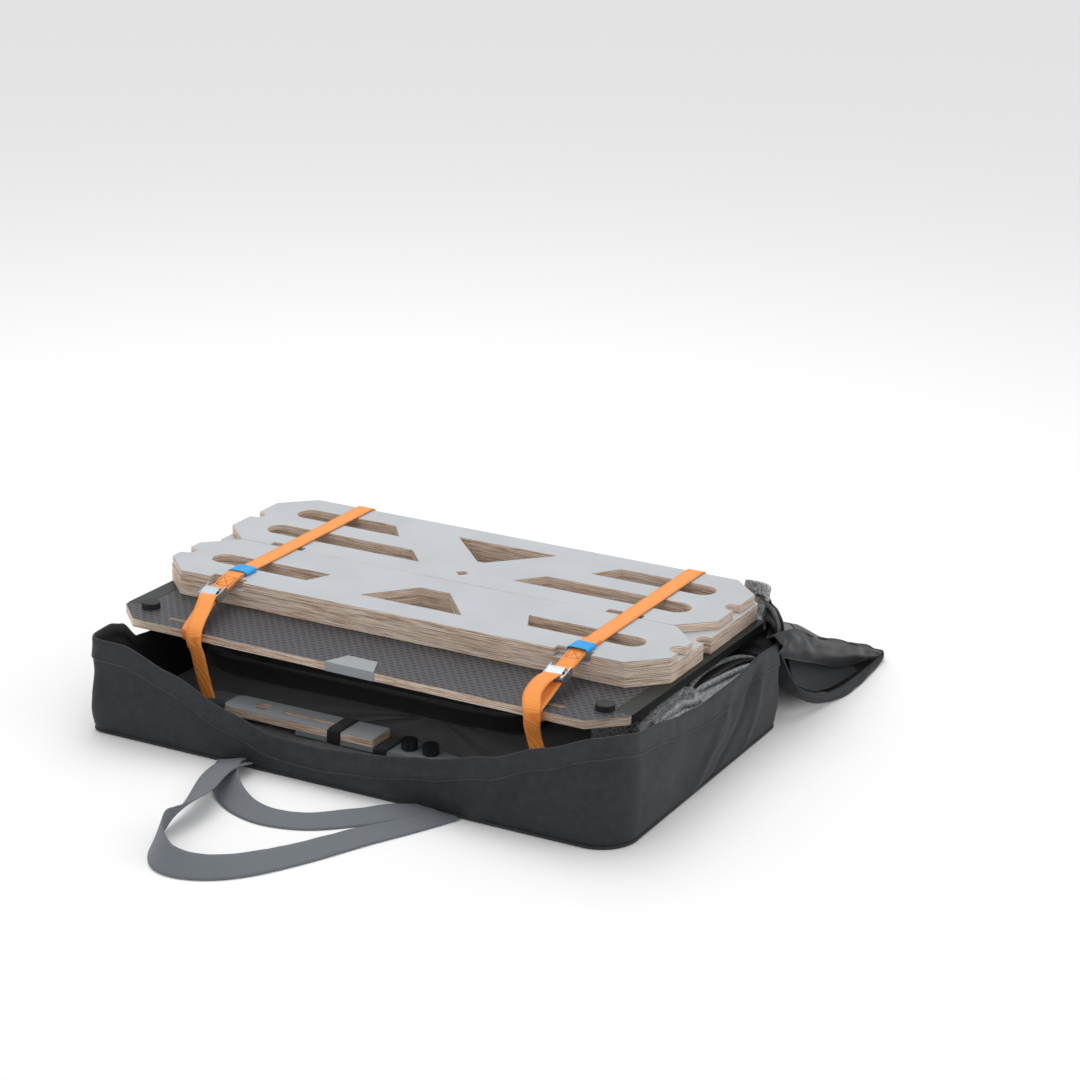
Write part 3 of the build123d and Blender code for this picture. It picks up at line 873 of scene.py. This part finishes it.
def hem_point(run, across):
    """The hem's section: up the outside, over the rolled top edge and down the inside."""
    place, out = outline(run)
    top = hem_height(place, out)
    pucker = crumple((place.x, place.y, 0), 14.0, 0.5)
    # each stop is its height over the rim and how far it stands off the wall
    stops = (
        (-HEM_BAND, 0.4), (-HEM_BAND + 1.5, 1.5), (-14.0, 1.2), (-1.5, 1.5),
        (0.8, 0.4), (0.8, -1.6), (-1.5, -3.0), (-16.0, -2.8),
    )
    place_on = across * (len(stops) - 1)
    i = min(int(place_on), len(stops) - 2)
    t = place_on - i
    drop = stops[i][0] + (stops[i + 1][0] - stops[i][0]) * t
    lift = stops[i][1] + (stops[i + 1][1] - stops[i][1]) * t
    here = wall_point(run, max(top + drop, 1.0) / top, lift + pucker)
    here.z = top + drop
    return here


bag_hem = cloth("bag_hem", hem_point, 560, 14, 0.8, [HEM], closed=True)


def hem_stitch(run):
    place, out = outline(run)
    top = hem_height(place, out)
    return wall_point(run, (top - HEM_BAND + 3.0) / top, 2.0)


bag_hem_stitching = stitching(
    "bag_hem_stitching", hem_stitch, lambda u: outline(u)[1], 2600, 4.2, THREAD, 0.4
)


def bottom_piping(run):
    place, out = outline(run)
    return Vector((place.x, place.y, 2.6)) + out * (-1.2)


bag_piping = tube("bag_piping", bottom_piping, 2.2, 480, HEM, closed=True)


def floor_point(u, v):
    """The bag's floor: a sheet inside the piping, waved a little where it isn't loaded."""
    here = outline(u)[0] * v
    here.z = 2.6 + crumple((here.x, here.y, 0), 90.0, 1.2) * (1 - v)
    return here


bag_floor = cloth("bag_floor", floor_point, 200, 12, SHEET, [SHELL, LINING], closed=True)

# the flap joins the back rim to the lid's hinge under the boards
flap_low, flap_high = node_box("bag_back_flap")


def flap_point(u, v):
    x = flap_low.x + 3 + (flap_high.x - flap_low.x - 6 - 92.0 * v) * u
    y = HALF_Y - 3 + (flap_high.y - HALF_Y + 3) * v
    sag = -4.0 * math.sin(math.pi * v) + crumple((x, y, 0), 60.0, 1.6)
    return Vector((x, y, flap_high.z - 1.5 + sag - 1.5))


bag_back_sheet = cloth("bag_back_sheet", flap_point, 160, 18, SHEET, [SHELL, LINING])


# ================================================================ straps
deck_low, deck_high = node_box("deck_board")
top_low = node_box("top_front_board")[0]
back_high = node_box("top_back_board")[1]
lower_low = node_box("lower_grey_board")[0]


def rounded(points, radius, steps=5):
    """A path of straight runs with its corners turned on small arcs."""
    path = [Vector(points[0])]
    for before, corner, after in zip(points, points[1:], points[2:]):
        corner = Vector(corner)
        to_before = (Vector(before) - corner)
        to_after = (Vector(after) - corner)
        reach = min(radius, to_before.length * 0.4, to_after.length * 0.4)
        first = corner + to_before.normalized() * reach
        last = corner + to_after.normalized() * reach
        for k in range(steps + 1):
            t = k / steps
            path.append(first * (1 - t) ** 2 + corner * 2 * t * (1 - t) + last * t * t)
    path.append(Vector(points[-1]))
    return path


def along_path(path, run):
    """A point at run 0 to 1 of a path's length."""
    lengths = [(b - a).length for a, b in zip(path, path[1:])]
    left = min(max(run, 0.0), 1.0) * sum(lengths)
    for a, b, length in zip(path, path[1:], lengths):
        if left <= length and length > 0:
            return a + (b - a) * (left / length)
        left -= length
    return path[-1].copy()


def place_node(piece, body, slot, *nodes):
    """Rides a finished piece on its body and hides the CAD nodes it stands for; slot is not used."""
    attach(piece, body)
    if nodes:
        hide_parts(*nodes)


BOX_X = 11.0  # half size of the stitched box, along the strap
for side in ("left", "right"):
    loop_low, loop_high = node_box(f"{side}_strap_loop")
    body_low, body_high = node_box(f"{side}_buckle_body")
    strap_x = (loop_low.x + loop_high.x) / 2
    half_width = (loop_high.x - loop_low.x) / 2
    top = loop_high.z - 0.7
    low = loop_low.z + 0.7
    edge = top_low.y + 12.0
    rear = loop_high.y - 0.7
    rear_top = back_high.y + 1.2
    front = loop_low.y + 0.7
    deck_under = deck_low.z - 1.2
    deck_over = deck_high.z + 1.2
    slope = math.atan2(top - deck_over, edge - front)
    along = Vector((0, math.cos(slope), math.sin(slope)))
    square = Vector((0, -math.sin(slope), math.cos(slope)))
    buckle = Vector((strap_x, (body_low.y + body_high.y) / 2, 0))
    buckle.z = top - (edge - buckle.y) * math.tan(slope)
    twist = 16.0 if side == "left" else 4.0
    loop = rounded(
        [
            buckle + along * 12,
            (strap_x, edge, top),
            (strap_x, rear_top, top),
            (strap_x, rear, deck_low.z),
            (strap_x, rear, low),
            (strap_x + twist, (lower_low.y + front) / 2 + 12.0, low - 1.0),
            (strap_x + twist, front, deck_under),
            (strap_x + twist * 0.9, front, deck_over),
            buckle - along * 12,
        ],
        3.0,
    )

    def loop_centre(u, loop=loop):
        here = along_path(loop, u)
        here.z += crumple((here.x, here.y, 0), 55.0, 0.5)
        return here

    def loop_across(u, half_width=half_width):
        return Vector((half_width, 0, 0))

    strap = ribbon(f"{side}_strap", loop_centre, loop_across, 420, STRAP_CLOTH, ORANGE)
    place_node(strap, "pack", "orange_webbing", f"{side}_strap_loop")

    # the end that is sewn round the buckle's bar lies back on the strap up to the keeper
    sewn_end = (strap_x, edge + 34.0, top + 2.2)
    sewn = rounded(
        [buckle + along * 13 + square * 2.0, Vector((strap_x, edge, top)) + square * 2.4, sewn_end], 8.0
    )

    def sewn_centre(u, sewn=sewn):
        return along_path(sewn, u)

    sewn_strap = ribbon(f"{side}_sewn_end", sewn_centre, loop_across, 60, 1.3, ORANGE)
    place_node(sewn_strap, "pack", "orange_webbing")

    box_middle = Vector((strap_x, edge, top)) + square * 3.3 - along * 17
    corner = [
        box_middle + along * a * BOX_X + Vector((b * 9.5, 0, 0))
        for a, b in ((-1, -1), (-1, 1), (1, 1), (1, -1))
    ]
    rows = []
    for a, b in ((0, 1), (1, 2), (2, 3), (3, 0), (0, 2), (1, 3)):
        rows.append(
            stitching(
                "row",
                lambda u, p=corner[a], q=corner[b]: p.lerp(q, u),
                lambda u, n=square: n,
                (corner[b] - corner[a]).length,
                2.2,
                BLACK_THREAD,
                0.55,
            )
        )
    box_stitch = joined(f"{side}_box_stitch", rows)
    place_node(box_stitch, "pack", "orange_webbing")

    # the keeper: a bowed sleeve standing a little above both layers
    keep_low, keep_high = node_box(f"{side}_strap_sleeve")
    keep_x = half_width + 1.8

    def keeper(u, v, low=keep_low, high=keep_high, middle=strap_x, reach=keep_x):
        angle = 2 * math.pi * u
        c = math.cos(angle)
        s = math.sin(angle)
        x = middle + reach * math.copysign(abs(c) ** 0.35, c)
        z = top + 1.9 + (2.3 + 0.5 * (1 - c * c)) * math.copysign(abs(s) ** 0.6, s)
        return Vector((x, low.y + (high.y - low.y) * v + 0.8 * math.sin(angle), z))

    sleeve = cloth(f"{side}_keeper", keeper, 64, 10, 1.0, [BLUE], closed=True)
    place_node(sleeve, "pack", "blue_keeper", f"{side}_strap_sleeve")

TAILS = {
    "left": [
        (-321, -66, 154), (-318, -80, 158), (-311, -96, 160), (-303, -120, 151), (-296, -146, 140),
        (-293, -157, 128), (-292, -158, 114), (-288, -155, 99), (-284, -151, 70), (-275, -149, 36),
    ],
    "right": [
        (223, -83, 151), (222, -98, 156), (218, -122, 153), (220, -148, 145), (228, -165, 133),
        (230, -168, 120), (229, -165, 106), (230, -160, 90), (235, -158, 70), (238, -156, 58),
    ],
}
for side, route in TAILS.items():

    def tail_centre(u, route=route):
        return through(route, u)

    def tail_across(u, route=route):
        ahead = through(route, min(u + 0.02, 1)) - through(route, max(u - 0.02, 0))
        sideways = Vector((1, 0.12 - 0.3 * u, 0.05 * math.sin(5 * u)))
        ahead.normalize()
        sideways -= ahead * sideways.dot(ahead)
        return sideways.normalized() * TAIL_HALF

    tail = ribbon(f"{side}_tail", tail_centre, tail_across, 120, 1.3, ORANGE)
    place_node(tail, "pack", "orange_webbing", f"{side}_strap_tail")


# ================================================================ handles
OUTER_ROUTE = [
    (-150, -262, 12), (-148, -300, 20), (-138, -345, 24), (-122, -400, 24), (-118, -450, 21),
    (-116, -490, 18), (-96, -535, 16), (-62, -566, 5), (-20, -562, 1.6), (22, -528, 1.6),
    (62, -460, 1.6), (100, -375, 1.6), (130, -315, 2.2), (152, -268, 3.5), (160, -250, 3.0),
]
# how far each part of the webbing stands up: 0 lies flat, 90 is on its edge
OUTER_STAND = [4, 8, 14, 26, 48, 74, 62, 44, 32, 25, 17, 11, 6, 4, 0]
INNER_ROUTE = [
    (-168, -254, 8), (-162, -264, 13), (-156, -284, 15), (-140, -314, 12), (-112, -346, 7),
    (-75, -370, 3), (-30, -380, 2.4), (20, -366, 2.6), (62, -330, 4.5), (95, -296, 7),
    (130, -262, 5.5), (140, -252, 5),
]
INNER_STAND = [4, 6, 16, 26, 20, 12, 10, 10, 12, 10, 4, 2]


def handle(name, route, stands, node):
    """A webbing loop: it lies, stands and turns as its side angle says."""

    def centre(u):
        here = through(route, u)
        stand = math.radians(through([(s, 0, 0) for s in stands], u).x)
        here.z = max(here.z, 1.9 + HANDLE_HALF * abs(math.sin(stand)))
        here.z += abs(crumple((here.x, here.y, 0), 40.0, 0.8))
        return here

    def across(u):
        ahead = through(route, min(u + 0.01, 1)) - through(route, max(u - 0.01, 0))
        ahead.normalize()
        stand = math.radians(through([(s, 0, 0) for s in stands], u).x)
        flat = Vector((0, 0, 1)).cross(ahead).normalized()
        upward = ahead.cross(flat) * -1
        width = flat * math.cos(stand) - upward * math.sin(stand)
        return width * HANDLE_HALF

    def grounded(u, v):
        here = centre(u) + across(u) * (2 * v - 1)
        here.z = max(here.z, 1.9)
        return here

    piece = cloth(name, grounded, 420, 8, HANDLE_CLOTH, [GREY_WEB])
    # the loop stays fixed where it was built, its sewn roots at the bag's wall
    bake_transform(piece)
    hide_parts(node)


handle("outer_webbing_handle", OUTER_ROUTE, OUTER_STAND, "outer_handle")
handle("inner_webbing_handle", INNER_ROUTE, INNER_STAND, "inner_handle")


# ================================================================ contents
mat_low, mat_high = node_box("floor_mat")


def pad_surface(name, low, high, plump, edge, lump, materials, cuts=70, corner=0.28):
    """A stuffed pad in a box: crowned faces, sides that pull in between rounded corners."""
    middle = (low + high) / 2
    half = (high - low) / 2
    rows = 20
    points = []
    faces = []
    for j in range(rows + 1):
        tilt = math.pi * (j / rows - 0.5)
        rise = math.copysign(abs(math.sin(tilt)) ** 0.5, math.sin(tilt))
        wide = abs(math.cos(tilt)) ** (0.35 * edge / 10)
        for i in range(cuts):
            angle = 2 * math.pi * i / cuts
            c = math.cos(angle)
            s = math.sin(angle)
            x = math.copysign(abs(c) ** corner, c)
            y = math.copysign(abs(s) ** corner, s)
            inset = plump * (1 - abs(x * y)) * 0.4
            here = Vector(
                (
                    middle.x + x * (half.x - inset) * (1 - (1 - wide) * edge / half.x),
                    middle.y + y * (half.y - inset) * (1 - (1 - wide) * edge / half.y),
                    middle.z + rise * half.z,
                )
            )
            shift = crumple(here, 60.0, lump) + crumple(here, 22.0, lump * 0.4)
            here += Vector((x, y, rise)) * (shift - lump * 0.6)
            points.append(here)
    for j in range(rows):
        for i in range(cuts):
            a = j * cuts + i
            b = j * cuts + (i + 1) % cuts
            faces.append((a, b, b + cuts, a + cuts))
    for ring, flip in ((0, True), (rows, False)):
        rim = [ring * cuts + i for i in range(cuts)]
        inner = rim
        for k in range(1, 14):
            share = 1 - k / 14
            start_at = len(points)
            for index in rim:
                flat = points[index]
                here = Vector(
                    (middle.x + (flat.x - middle.x) * share, middle.y + (flat.y - middle.y) * share, flat.z)
                )
                crown = (1 - share * share) * plump * (-0.2 if flip else 0.35)
                here.z += crown + crumple(here, 45.0, lump * 0.8)
                points.append(here)
            ring_now = [start_at + i for i in range(cuts)]
            for i in range(cuts):
                a, b = inner[i], inner[(i + 1) % cuts]
                c, d = ring_now[(i + 1) % cuts], ring_now[i]
                faces.append((b, a, d, c) if flip else (a, b, c, d))
            inner = ring_now
        faces.append(tuple(reversed(inner)) if flip else tuple(inner))
    return make_object(name, points, faces, materials)


felt_mat = pad_surface("felt_floor_mat", mat_low, mat_high, 2.0, 4.0, 1.2, [MAT_FELT], 160, 0.32)
place_node(felt_mat, "bag", "dark_felt", "floor_mat")

cushion_low, cushion_high = node_box("folded_cushion")
LAYERS = 3
layer_height = (cushion_high.z - cushion_low.z) / LAYERS
layers = []
for k in range(LAYERS):
    low = Vector((cushion_low.x, cushion_low.y + 5.0 * (k % 2), cushion_low.z + k * layer_height))
    high = Vector((cushion_high.x, cushion_high.y, low.z + layer_height + 1.0))
    layers.append(pad_surface("layer", low, high, 6.0, 12.0, 2.0, [MAT_FELT], 120))
folded_pad = joined("folded_pad", layers)
place_node(folded_pad, "bag", "dark_felt", "folded_cushion")

cover_low, cover_high = node_box("felt_cover")
pad_low = cover_low + Vector((90, 26, 0))
pad_high = cover_high - Vector((0, 0, 5))
cover_pad = pad_surface("heather_cover", pad_low, pad_high, 8.0, 14.0, 3.0, [HEATHER], 150)
place_node(cover_pad, "bag", "heather_felt", "felt_cover")

# the cover's zip lies between two soft piped edges
ZIP_ROUTE = [(341, 84, 97), (343, 120, 101), (348, 165, 102), (355, 205, 100), (364, 236, 95)]
EDGE_LEFT = [(344, 74, 88), (336, 88, 97), (334, 130, 100), (336, 178, 101), (346, 220, 98), (360, 242, 92)]
EDGE_RIGHT = [(345, 76, 92), (350, 92, 98), (355, 125, 98), (361, 165, 97), (367, 205, 94), (372, 236, 88)]
PULLED = [(345, 76, 92), (360, 58, 97), (363, 40, 97), (352, 22, 97), (350, -8, 94), (344, -40, 88)]
RIDGE = [(330, -62, 84), (331, -20, 92), (330, 30, 96), (333, 62, 98), (343, 78, 95)]


def piped(name, route, radius):
    """A soft piped edge of the felt cover, a little uneven along its length."""

    def centre(u):
        return through(route, u) + Vector((0, 0, crumple((u * 90, 0, 0), 9.0, 0.8)))

    return tube(name, centre, radius, 90, HEATHER, 10)


cover_edges = joined(
    "heather_cover_edges",
    [
        piped("left", EDGE_LEFT, 4.0),
        piped("right", EDGE_RIGHT, 4.0),
        piped("pulled", PULLED, 5.0),
        piped("ridge", RIDGE, 7.0),
    ],
)
place_node(cover_edges, "bag", "heather_felt")


def coil_zip(name, route, width, tilt, pitch=2.6):
    """A coil zip: a flat tape with a row of small interlocked coil turns along its middle."""
    side = Vector(tilt).normalized()
    tape = ribbon(name + "_tape", lambda u: through(route, u), lambda u: side * width / 2, 90, 0.8, COIL)
    length = sum((through(route, (k + 1) / 40) - through(route, k / 40)).length for k in range(40))
    turns = int(length / pitch)
    points = []
    faces = []
    for k in range(turns):
        here = through(route, (k + 0.5) / turns)
        ahead = (through(route, (k + 0.9) / turns) - through(route, (k + 0.1) / turns)).normalized()
        up = side.cross(ahead).normalized()
        up = up if up.z + 0.2 * up.x > 0 else -up
        for shift in (-1.3, 1.3):
            first = len(points)
            for c, s in ((-1, -1), (1, -1), (1, 1), (-1, 1)):
                points.append(here + ahead * c * 0.8 + side * (shift + s * 1.5) + up * 0.3)
            for c, s in ((-0.5, -0.6), (0.5, -0.6), (0.5, 0.6), (-0.5, 0.6)):
                points.append(here + ahead * c + side * (shift + s * 1.2) + up * 1.7)
            for q in ((0, 1, 5, 4), (1, 2, 6, 5), (2, 3, 7, 6), (3, 0, 4, 7), (4, 5, 6, 7), (3, 2, 1, 0)):
                faces.append(tuple(first + i for i in q))
    coil = make_object(name + "_coil", points, faces, [COIL])
    return joined(name, [tape, coil])


cover_zip = coil_zip("cover_zip", ZIP_ROUTE, 15.0, (1, -0.25, 0.0))
place_node(cover_zip, "bag", "zip_black")

# two wraps of hook-and-loop band round the bundle of small parts
for side in ("left", "right"):
    band_low, band_high = node_box(f"{side}_band")
    middle = (band_low + band_high) / 2
    half = (band_high - band_low) / 2

    def wrap(u, v, middle=middle, half=half):
        angle = 2 * math.pi * u
        c = math.cos(angle)
        s = math.sin(angle)
        swell = 1.0 + 0.9 * (0.0 < angle < 2.2)
        y = middle.y + (half.y - 1.5 + swell) * math.copysign(abs(c) ** 0.22, c)
        z = middle.z + (half.z - 1.5 + swell) * math.copysign(abs(s) ** 0.22, s)
        skew = 1.5 * math.sin(angle)
        return Vector((middle.x + half.x * (2 * v - 1) + skew, y, z))

    band = cloth(f"{side}_wrap", wrap, 96, 4, 1.4, [HOOK], closed=True)
    place_node(band, "bundle", "hook_and_loop", f"{side}_band")

# ================================================================ lid
LID_TOP = [
    (402, 218, 141), (409, 250, 141), (413, 300, 122), (416, 348, 101), (421, 433, 68),
    (426, 511, 37), (431, 560, 13),
]
LID_FOLD = [
    (396, 240, 98), (400, 256, 96), (406, 296, 80), (410, 348, 60), (412, 440, 24),
    (418, 501, 10), (426, 556, 5),
]
toe_y = node_box("lid_panel")[1].y - 3.0


def lid_cover_point(u, v):
    """The folded-back lid: a satin-lined sheet from the bag's back rim down to the floor.

    The last part of u turns down over the right end's soft fold.
    """
    top = through(LID_TOP, v)
    if u > LID_TURN:
        t = (u - LID_TURN) / (1 - LID_TURN)
        fold = through(LID_FOLD, v)
        here = top.lerp(fold, t)
        out = math.sin(math.pi * min(t * 1.05, 1.0))
        here.x += 9.0 * out - 3.0
        here.z += 2.0 * out
        here.x += crumple((v * 260, t * 70, 4), 22.0, 5.0) * out
        here.y += crumple((v * 200, t * 90, 9), 26.0, 4.0) * out
        return here
    share = u / LID_TURN
    x = -394 + (top.x + 394) * share**0.9
    near = max((x - 318.0) / 84.0, 0.0)
    ahead = 400.0 - 182.0 * near**1.25
    rise = 96.0 + 45.0 * near**5
    y = ahead + (toe_y - 4.0 - ahead) * v
    z = rise + (5.0 - rise) * v + 6.0 * math.sin(math.pi * v)
    side = top * 1.0
    weight = max((share - 0.86) / 0.14, 0.0) ** 2
    here = Vector((x, y, z)).lerp(Vector((x, side.y, side.z)), weight)
    free = math.sin(math.pi * v) ** 0.6
    here.z += (crumple((x, y * 1.6, 0), 110.0, 9.0) + crumple((x + y, y, 3), 42.0, 3.0)) * free
    here.z = max(here.z, 3.0)
    return here


lid_cover = cloth("lid_cover", lid_cover_point, 220, 60, LID_SHEET, [SATIN, SHELL], inner=1)

LIP_UPPER = [
    (393, 242, 124), (403, 245, 98), (412, 266, 60), (419, 288, 40), (427, 335, 21), (431, 392, 12),
    (432, 450, 9), (431, 512, 7), (431, 556, 9),
]
LIP_LOWER = [
    (356, 262, 92), (372, 264, 66), (393, 274, 45), (410, 292, 28), (421, 335, 8), (438, 392, 1.6),
    (441, 446, 1.4), (438, 508, 1.4), (432, 560, 2),
]


def lip_point(u, v):
    """The lid's side strip: it drops from the bag's corner and runs along the floor."""
    here = through(LIP_UPPER, u).lerp(through(LIP_LOWER, u), v)
    here.x += 4.0 * math.sin(math.pi * v) * (1 - 0.6 * u)
    here += Vector((1, 0, 1)) * crumple((u * 400, v * 40, 0), 30.0, 2.0) * math.sin(math.pi * v)
    here.z = max(here.z, 1.4)
    return here


lid_lip = cloth("lid_lip", lip_point, 110, 12, LID_SHEET, [HEM])
lid_lip_piping = tube("lid_lip_piping", lambda u: through(LIP_UPPER, u), 1.8, 110, SHELL)


def ribbed_point(u, v):
    near = through([(402, 300, 44), (409, 340, 22), (415, 392, 9), (418, 440, 5), (420, 492, 4)], u)
    far = through([(380, 322, 74), (384, 362, 58), (390, 412, 38), (398, 462, 22), (408, 505, 9)], u)
    here = near.lerp(far, v)
    here.x -= 3.0 * math.sin(math.pi * v)
    return here


lid_ribbed = cloth("lid_ribbed_panel", ribbed_point, 80, 24, SHEET, [RIBBED])


def lid_floor_point(u, v):
    """The lid's outer face lies on the floor under the fold."""
    y = 300.0 + (toe_y - 300.0) * v
    right = through(LIP_LOWER, 0.5 + 0.5 * v).x - 6.0
    x = -390.0 + (right + 390.0) * u
    y = max(y, 398.0)
    return Vector((x, y, 2.0 + abs(crumple((x, y, 0), 70.0, 1.0))))


lid_floor = cloth("lid_floor", lid_floor_point, 140, 24, SHEET, [LINING])


def lid_end_point(u, v):
    """The lid's left end: a gusset that folds in between the sheet and the floor."""
    upper = lid_cover_point(0.0, u)
    fold = 16.0 * math.sin(math.pi * v) * (1 - u)
    here = Vector((upper.x + fold, upper.y, upper.z * (1 - v) + 2.0 * v))
    here.x += crumple((0, here.y, here.z), 30.0, 3.0) * math.sin(math.pi * v)
    return here


lid_end = cloth("lid_left_end", lid_end_point, 60, 20, SHEET, [SHELL])


def toe_edge(u):
    if u < 0.9:
        return lid_cover_point(u / 0.9 * LID_TURN, 1.0) + Vector((0, 1.0, 0))
    return lid_cover_point(LID_TURN, 1.0).lerp(Vector((432, 560, 4)), (u - 0.9) / 0.1)


lid_piping = tube("lid_toe_piping", toe_edge, 2.4, 220, HEM)
SEAM_AT = 0.42
lid_seam = tube(
    "lid_seam", lambda u: lid_cover_point(LID_TURN * u, SEAM_AT) + Vector((0, 0, 0.4)), 0.9, 220, HEM
)
for piece, slot, nodes in (
    (lid_cover, "bag_fabric", ("lid_panel",)),
    (lid_lip, "bag_fabric", ("lid_end_gussets",)),
    (lid_lip_piping, "bag_fabric", ()),
    (lid_ribbed, "bag_fabric", ()),
    (lid_floor, "bag_fabric", ("lid_front_gusset",)),
    (lid_end, "bag_fabric", ()),
    (lid_piping, "bag_fabric", ()),
    (lid_seam, "bag_fabric", ()),
):
    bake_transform(piece)
    if nodes:
        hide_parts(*nodes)

# ================================================================ corner gusset with its zip
GUSSET_FOOT = [
    (394, 238, 100), (389, 262, 99), (372, 300, 99), (352, 335, 99), (330, 372, 99), (296, 390, 99),
]
GUSSET_TOP = [
    (399, 232, 132), (395, 244, 144), (381, 266, 149), (360, 302, 145), (342, 326, 142),
    (326, 350, 142), (300, 368, 140),
]


def gusset_point(u, v):
    foot = through(GUSSET_FOOT, u)
    top = through(GUSSET_TOP, u)
    here = foot.lerp(top, v)
    out = Vector((0.75, 0.6, 0))
    here += out * (5.0 + crumple((u * 150, v * 60, 1), 18.0, 3.0)) * math.sin(math.pi * v)
    return here


gusset = cloth("corner_gusset", gusset_point, 90, 26, 1.3, [SHELL, HEATHER], inner=1)
place_node(gusset, "bag", "bag_fabric", "bag_corner_gusset")


def gusset_zip_point(u):
    return through(GUSSET_TOP, u) + Vector((2.6, 2.2, -11.0))


zip_samples = [gusset_zip_point(k / 12) for k in range(13)]
gusset_zip = coil_zip("corner_zip", zip_samples, 26.0, (0.25, 0.2, 1.0))
place_node(gusset_zip, "bag", "zip_black")
gusset_edge = tube("corner_gusset_edge", lambda u: through(GUSSET_TOP, u), 3.2, 90, COIL)
place_node(gusset_edge, "bag", "bag_fabric")


def felt_corner_point(u, v):
    """A stiff felt tab that stands behind the boards' corner."""
    route = [(336, 334, 100), (334, 344, 100), (326, 353, 100), (310, 361, 100), (288, 366, 100)]
    foot = through(route, u)
    high = 154 + 6 * math.sin(math.pi * (0.15 + 0.7 * u)) - 14 * max(0.12 - u, 0) * 8
    lean = 4.0 * v * v
    return Vector((foot.x + lean, foot.y + lean, foot.z + (high - foot.z) * v))


felt_corner = cloth("felt_corner_tab", felt_corner_point, 50, 30, 5.0, [HEATHER])
place_node(felt_corner, "bag", "heather_felt")

# ================================================================ zip along the right wall
chain_low, chain_high = node_box("zip_chain")
chain_z = (chain_low.z + chain_high.z) / 2


def chain_route(count=12):
    spots = []
    for k in range(count + 1):
        y = chain_low.y + (chain_high.y - chain_low.y) * k / count
        spots.append((chain_low.x + 1.2, y, chain_z))
    return spots


wall_zip = coil_zip("right_wall_zip", chain_route(), 7.0, (0.0, 0.0, 1.0), 2.8)
place_node(wall_zip, "bag", "zip_black", "zip_chain")
finish_node("zip_slider", ZINC)

for piece, nodes in (
    (bag_walls, ("bag_front_panel", "bag_right_panel", "bag_left_panel", "bag_back_panel")),
    (bag_hem, ()),
    (bag_hem_stitching, ()),
    (bag_piping, ()),
    (bag_floor, ("bag_base",)),
    (bag_back_sheet, ("bag_back_flap",)),
):
    place_node(piece, "bag", "bag_fabric", *nodes)

# the cut sizes of the other sheets: the wall is one strip sewn into a ring
for piece, width, length, held, under in (
    (bag_walls, 2530, 106, "stretched", "bag_piping"),
    (bag_floor, 797, 504, "laid", "bag_piping"),
    (bag_back_sheet, 746, 151, "laid", "folded_pad"),
    (lid_floor, 806, 188, "laid", "lid_toe_piping"),
    (lid_end, 190, 55, "folded", "lid_floor"),
    (lid_lip, 375, 20, "folded", "lid_floor"),
    (lid_ribbed, 208, 38, "folded", "lid_floor"),
    (gusset, 210, 43, "folded", "bag_back_sheet"),
    (felt_corner, 82, 51, "folded", "bag_back_sheet"),
):
    mm(width)
    mm(length)
